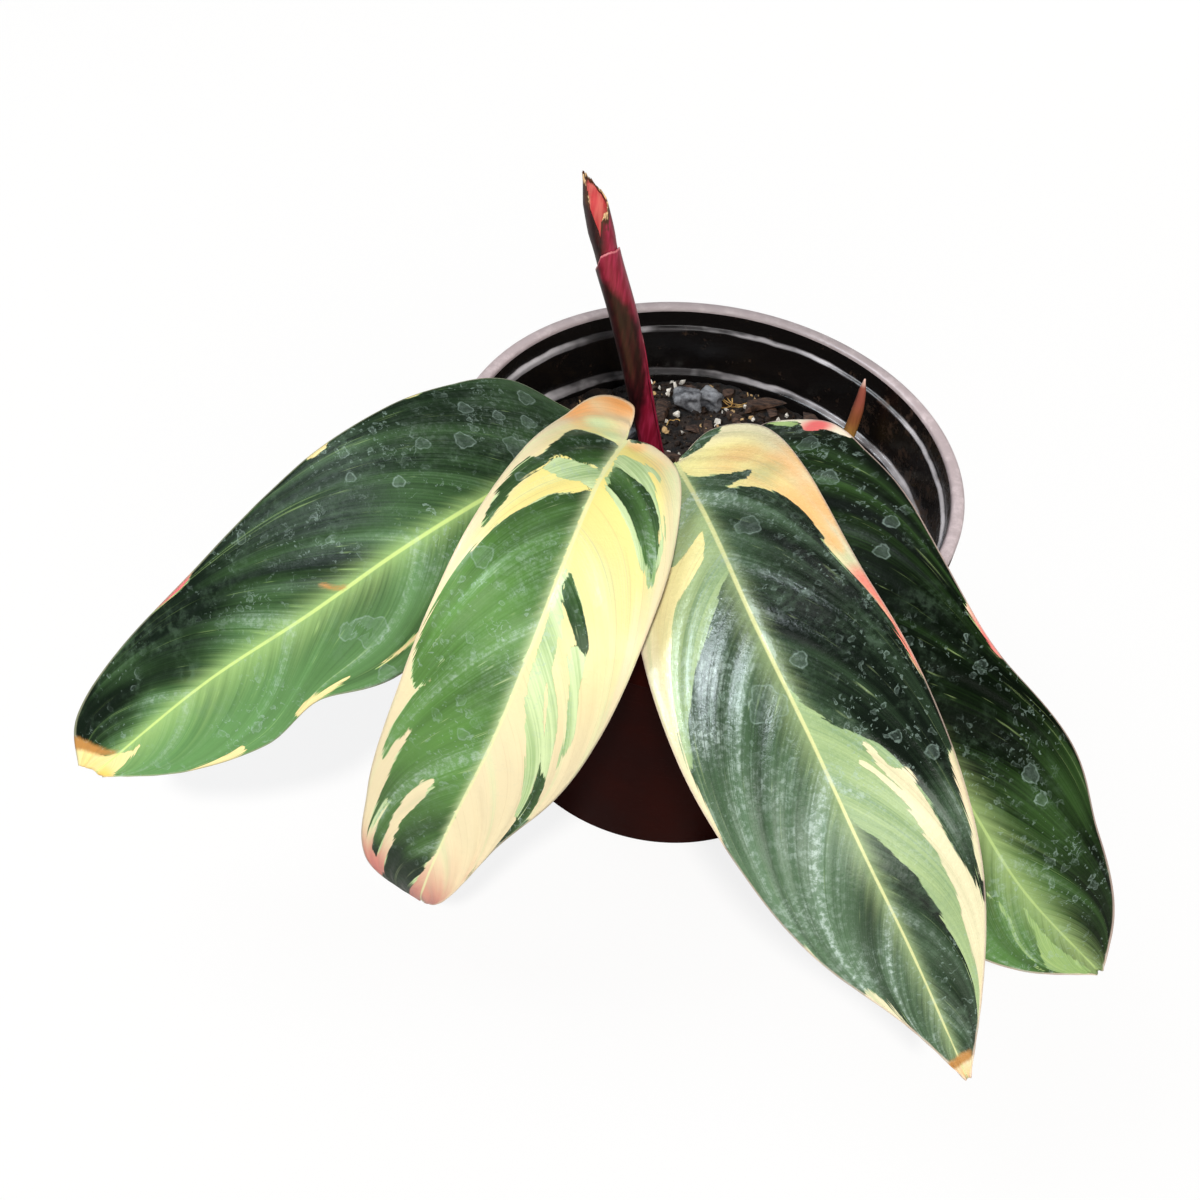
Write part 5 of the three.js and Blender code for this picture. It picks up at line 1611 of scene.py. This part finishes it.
def make_perlite(rolls):
    bm = bmesh.new()
    for x, y in [*PERLITE_PLACES, *scatter(rolls, PERLITE["count"])]:
        size = [rolls.uniform(*PERLITE["size"]) for _ in range(3)]
        chip(bm, rolls, (x, y, lumpy(x, y) + PERLITE["lift"]), size, PERLITE["corners"])
    add_litter("perlite_grains", bm, "perlite")


def make_fibres(rolls):
    """Fine tan root hairs and coir strands, lying loosely on the soil."""
    bm = bmesh.new()
    laid = [(x, y, math.radians(heading), FIBRES["plain_bend"], length) for x, y, heading, length in STRANDS]
    for x, y in scatter(rolls, FIBRES["count"]):
        heading, bend = rolls.uniform(0, FULL_TURN), rolls.uniform(*FIBRES["bend"])
        laid.append((x, y, heading, bend, rolls.uniform(*FIBRES["length"])))
    for x, y, heading, bend, length in laid:
        points = []
        for i in range(FIBRES["spans"] + 1):
            along, way = length * i / FIBRES["spans"], heading + bend * i
            px, py = x + along * math.cos(way), y + along * math.sin(way)
            reach = min(1.0, FIBRES["reach"] / max(math.hypot(px, py), GUARD))
            px, py = px * reach, py * reach
            points.append((px, py, lumpy(px, py) + FIBRES["lift"] + rolls.uniform(*FIBRES["rise"])))
        radius = rolls.uniform(*FIBRES["radius"])
        taper = [(0, radius), (1, radius * (1 - FIBRES["thinner"]))]
        bent_bar(bm, Course(points, FIBRES["samples"]), lambda share: graph(taper, share),
                 FIBRES["sides"], FIBRES["rings"], guide=(0, 0, 1))
    bmesh.ops.recalc_face_normals(bm, faces=bm.faces)
    add_piece("soil_fibres", finish_mesh("soil_fibres", bm), "soil_mix", litter_material("coir"))


def make_soil_litter():
    """Crumbs, bark, charcoal, perlite and fibres on the soil, each kind a piece of its own."""
    rolls = random.Random(SCATTER["seed"])
    for make in (make_crumbs, make_bark, make_charcoal, make_perlite, make_fibres):
        make(rolls)


def finish_rhizome():
    material, tree = new_material("rhizome flesh")
    cloud = tree.grain("rhizome")
    close_material(tree, tree.two_tones(cloud, "rhizome"), cloud, "rhizome")
    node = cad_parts["rhizome"]
    node.data.materials.clear()
    node.data.materials.append(material)


# --- stage


def grey(value):
    return (value, value, value, 1.0)


def make_floor():
    """A pale floor that the camera sees almost evenly lit, with a faint shadow."""
    bm = bmesh.new()
    bmesh.ops.create_grid(bm, x_segments=1, y_segments=1, size=FLOOR["size"])
    material, tree = new_material("studio floor")
    paper = tree.node("ShaderNodeBsdfDiffuse", {"Color": grey(FLOOR["seen_paper"])}).outputs[0]
    glow = tree.node("ShaderNodeEmission", {"Color": grey(FLOOR["seen_glow"])}).outputs[0]
    seen = tree.node("ShaderNodeMixShader", {0: FLOOR["paper_share"], 1: glow, 2: paper}).outputs[0]
    dull = tree.node("ShaderNodeBsdfDiffuse", {"Color": grey(FLOOR["bounce"])}).outputs[0]
    by_camera = tree.node("ShaderNodeLightPath").outputs["Is Camera Ray"]
    both = tree.node("ShaderNodeMixShader", {0: by_camera, 1: dull, 2: seen}).outputs[0]
    tree.node("ShaderNodeOutputMaterial", {"Surface": both})
    floor = show("floor", finish_mesh("floor", bm, smooth=False))
    floor.data.materials.append(material)
    floor.location.z = -FLOOR["below"] * MM


def make_camera():
    """Looks down at 47 degrees from the front, turned a little about its own axis."""
    elevation, roll = math.radians(CAMERA["elevation"]), math.radians(CAMERA["roll"])
    back = Vector((0, -math.cos(elevation), math.sin(elevation)))
    level, upright = Vector((1, 0, 0)), Vector((0, math.sin(elevation), math.cos(elevation)))
    right = level * math.cos(roll) + upright * math.sin(roll)
    up = upright * math.cos(roll) - level * math.sin(roll)
    camera = show("camera", bpy.data.cameras.new("camera"))
    camera.data.sensor_width = CAMERA["sensor"]
    camera.data.lens = CAMERA["sensor"] * CAMERA["focal_pixels"] / CAMERA["frame_pixels"]
    camera.data.clip_start = CAMERA["nearest"] * MM
    spot = (Vector(CAMERA["aim"]) + back * CAMERA["distance"]) * MM
    camera.matrix_world = Matrix.LocRotScale(spot, Matrix((right, up, back)).transposed(), None)
    bpy.context.scene.camera = camera


def add_lamp(name, kind, azimuth, elevation, energy, lights, shines, settings):
    lamp = show(name, bpy.data.lights.new(name, kind))
    lamp.data.energy = energy
    lamp.visible_diffuse, lamp.visible_glossy = lights, shines
    for key, value in settings.items():
        setattr(lamp.data, key, value)
    az, el = math.radians(azimuth), math.radians(elevation)
    way = Vector((math.sin(az) * math.cos(el), math.cos(az) * math.cos(el), math.sin(el)))
    lamp.location = Vector(LAMP_AIM) + way * LAMP_DISTANCE
    lamp.rotation_euler = way.to_track_quat("Z", "Y").to_euler()


def make_light():
    world = bpy.data.worlds.new("studio")
    world.use_nodes = True
    world.node_tree.nodes.clear()
    tree = Tree(world.node_tree)
    by_camera = tree.node("ShaderNodeLightPath").outputs["Is Camera Ray"]
    strength = tree.scale(by_camera, 0.0, 1.0, WORLD["light"], WORLD["seen"])
    room = tree.node("ShaderNodeBackground", {"Color": WORLD["color"], "Strength": strength})
    tree.node("ShaderNodeOutputWorld", {"Surface": room.outputs[0]})
    bpy.context.scene.world = world
    for name, lamp in LAMPS.items():
        add_lamp(name, *lamp)
    bpy.context.scene.view_settings.view_transform = "Standard"


# --- the scene


make_camera()
marking, marks = leaf_marking_group(), water_marks_group()
petiole = stalk_material()
for leaf_name, leaf_data in LEAVES.items():
    leaf_shape = make_blade(leaf_name, leaf_data, marking, marks)
    make_stalk(leaf_name + "_petiole", leaf_data, leaf_shape, petiole)
make_rolled_leaf()
make_sprout()
make_pot()
make_soil_bed()
make_soil_litter()
finish_rhizome()
make_floor()
make_light()
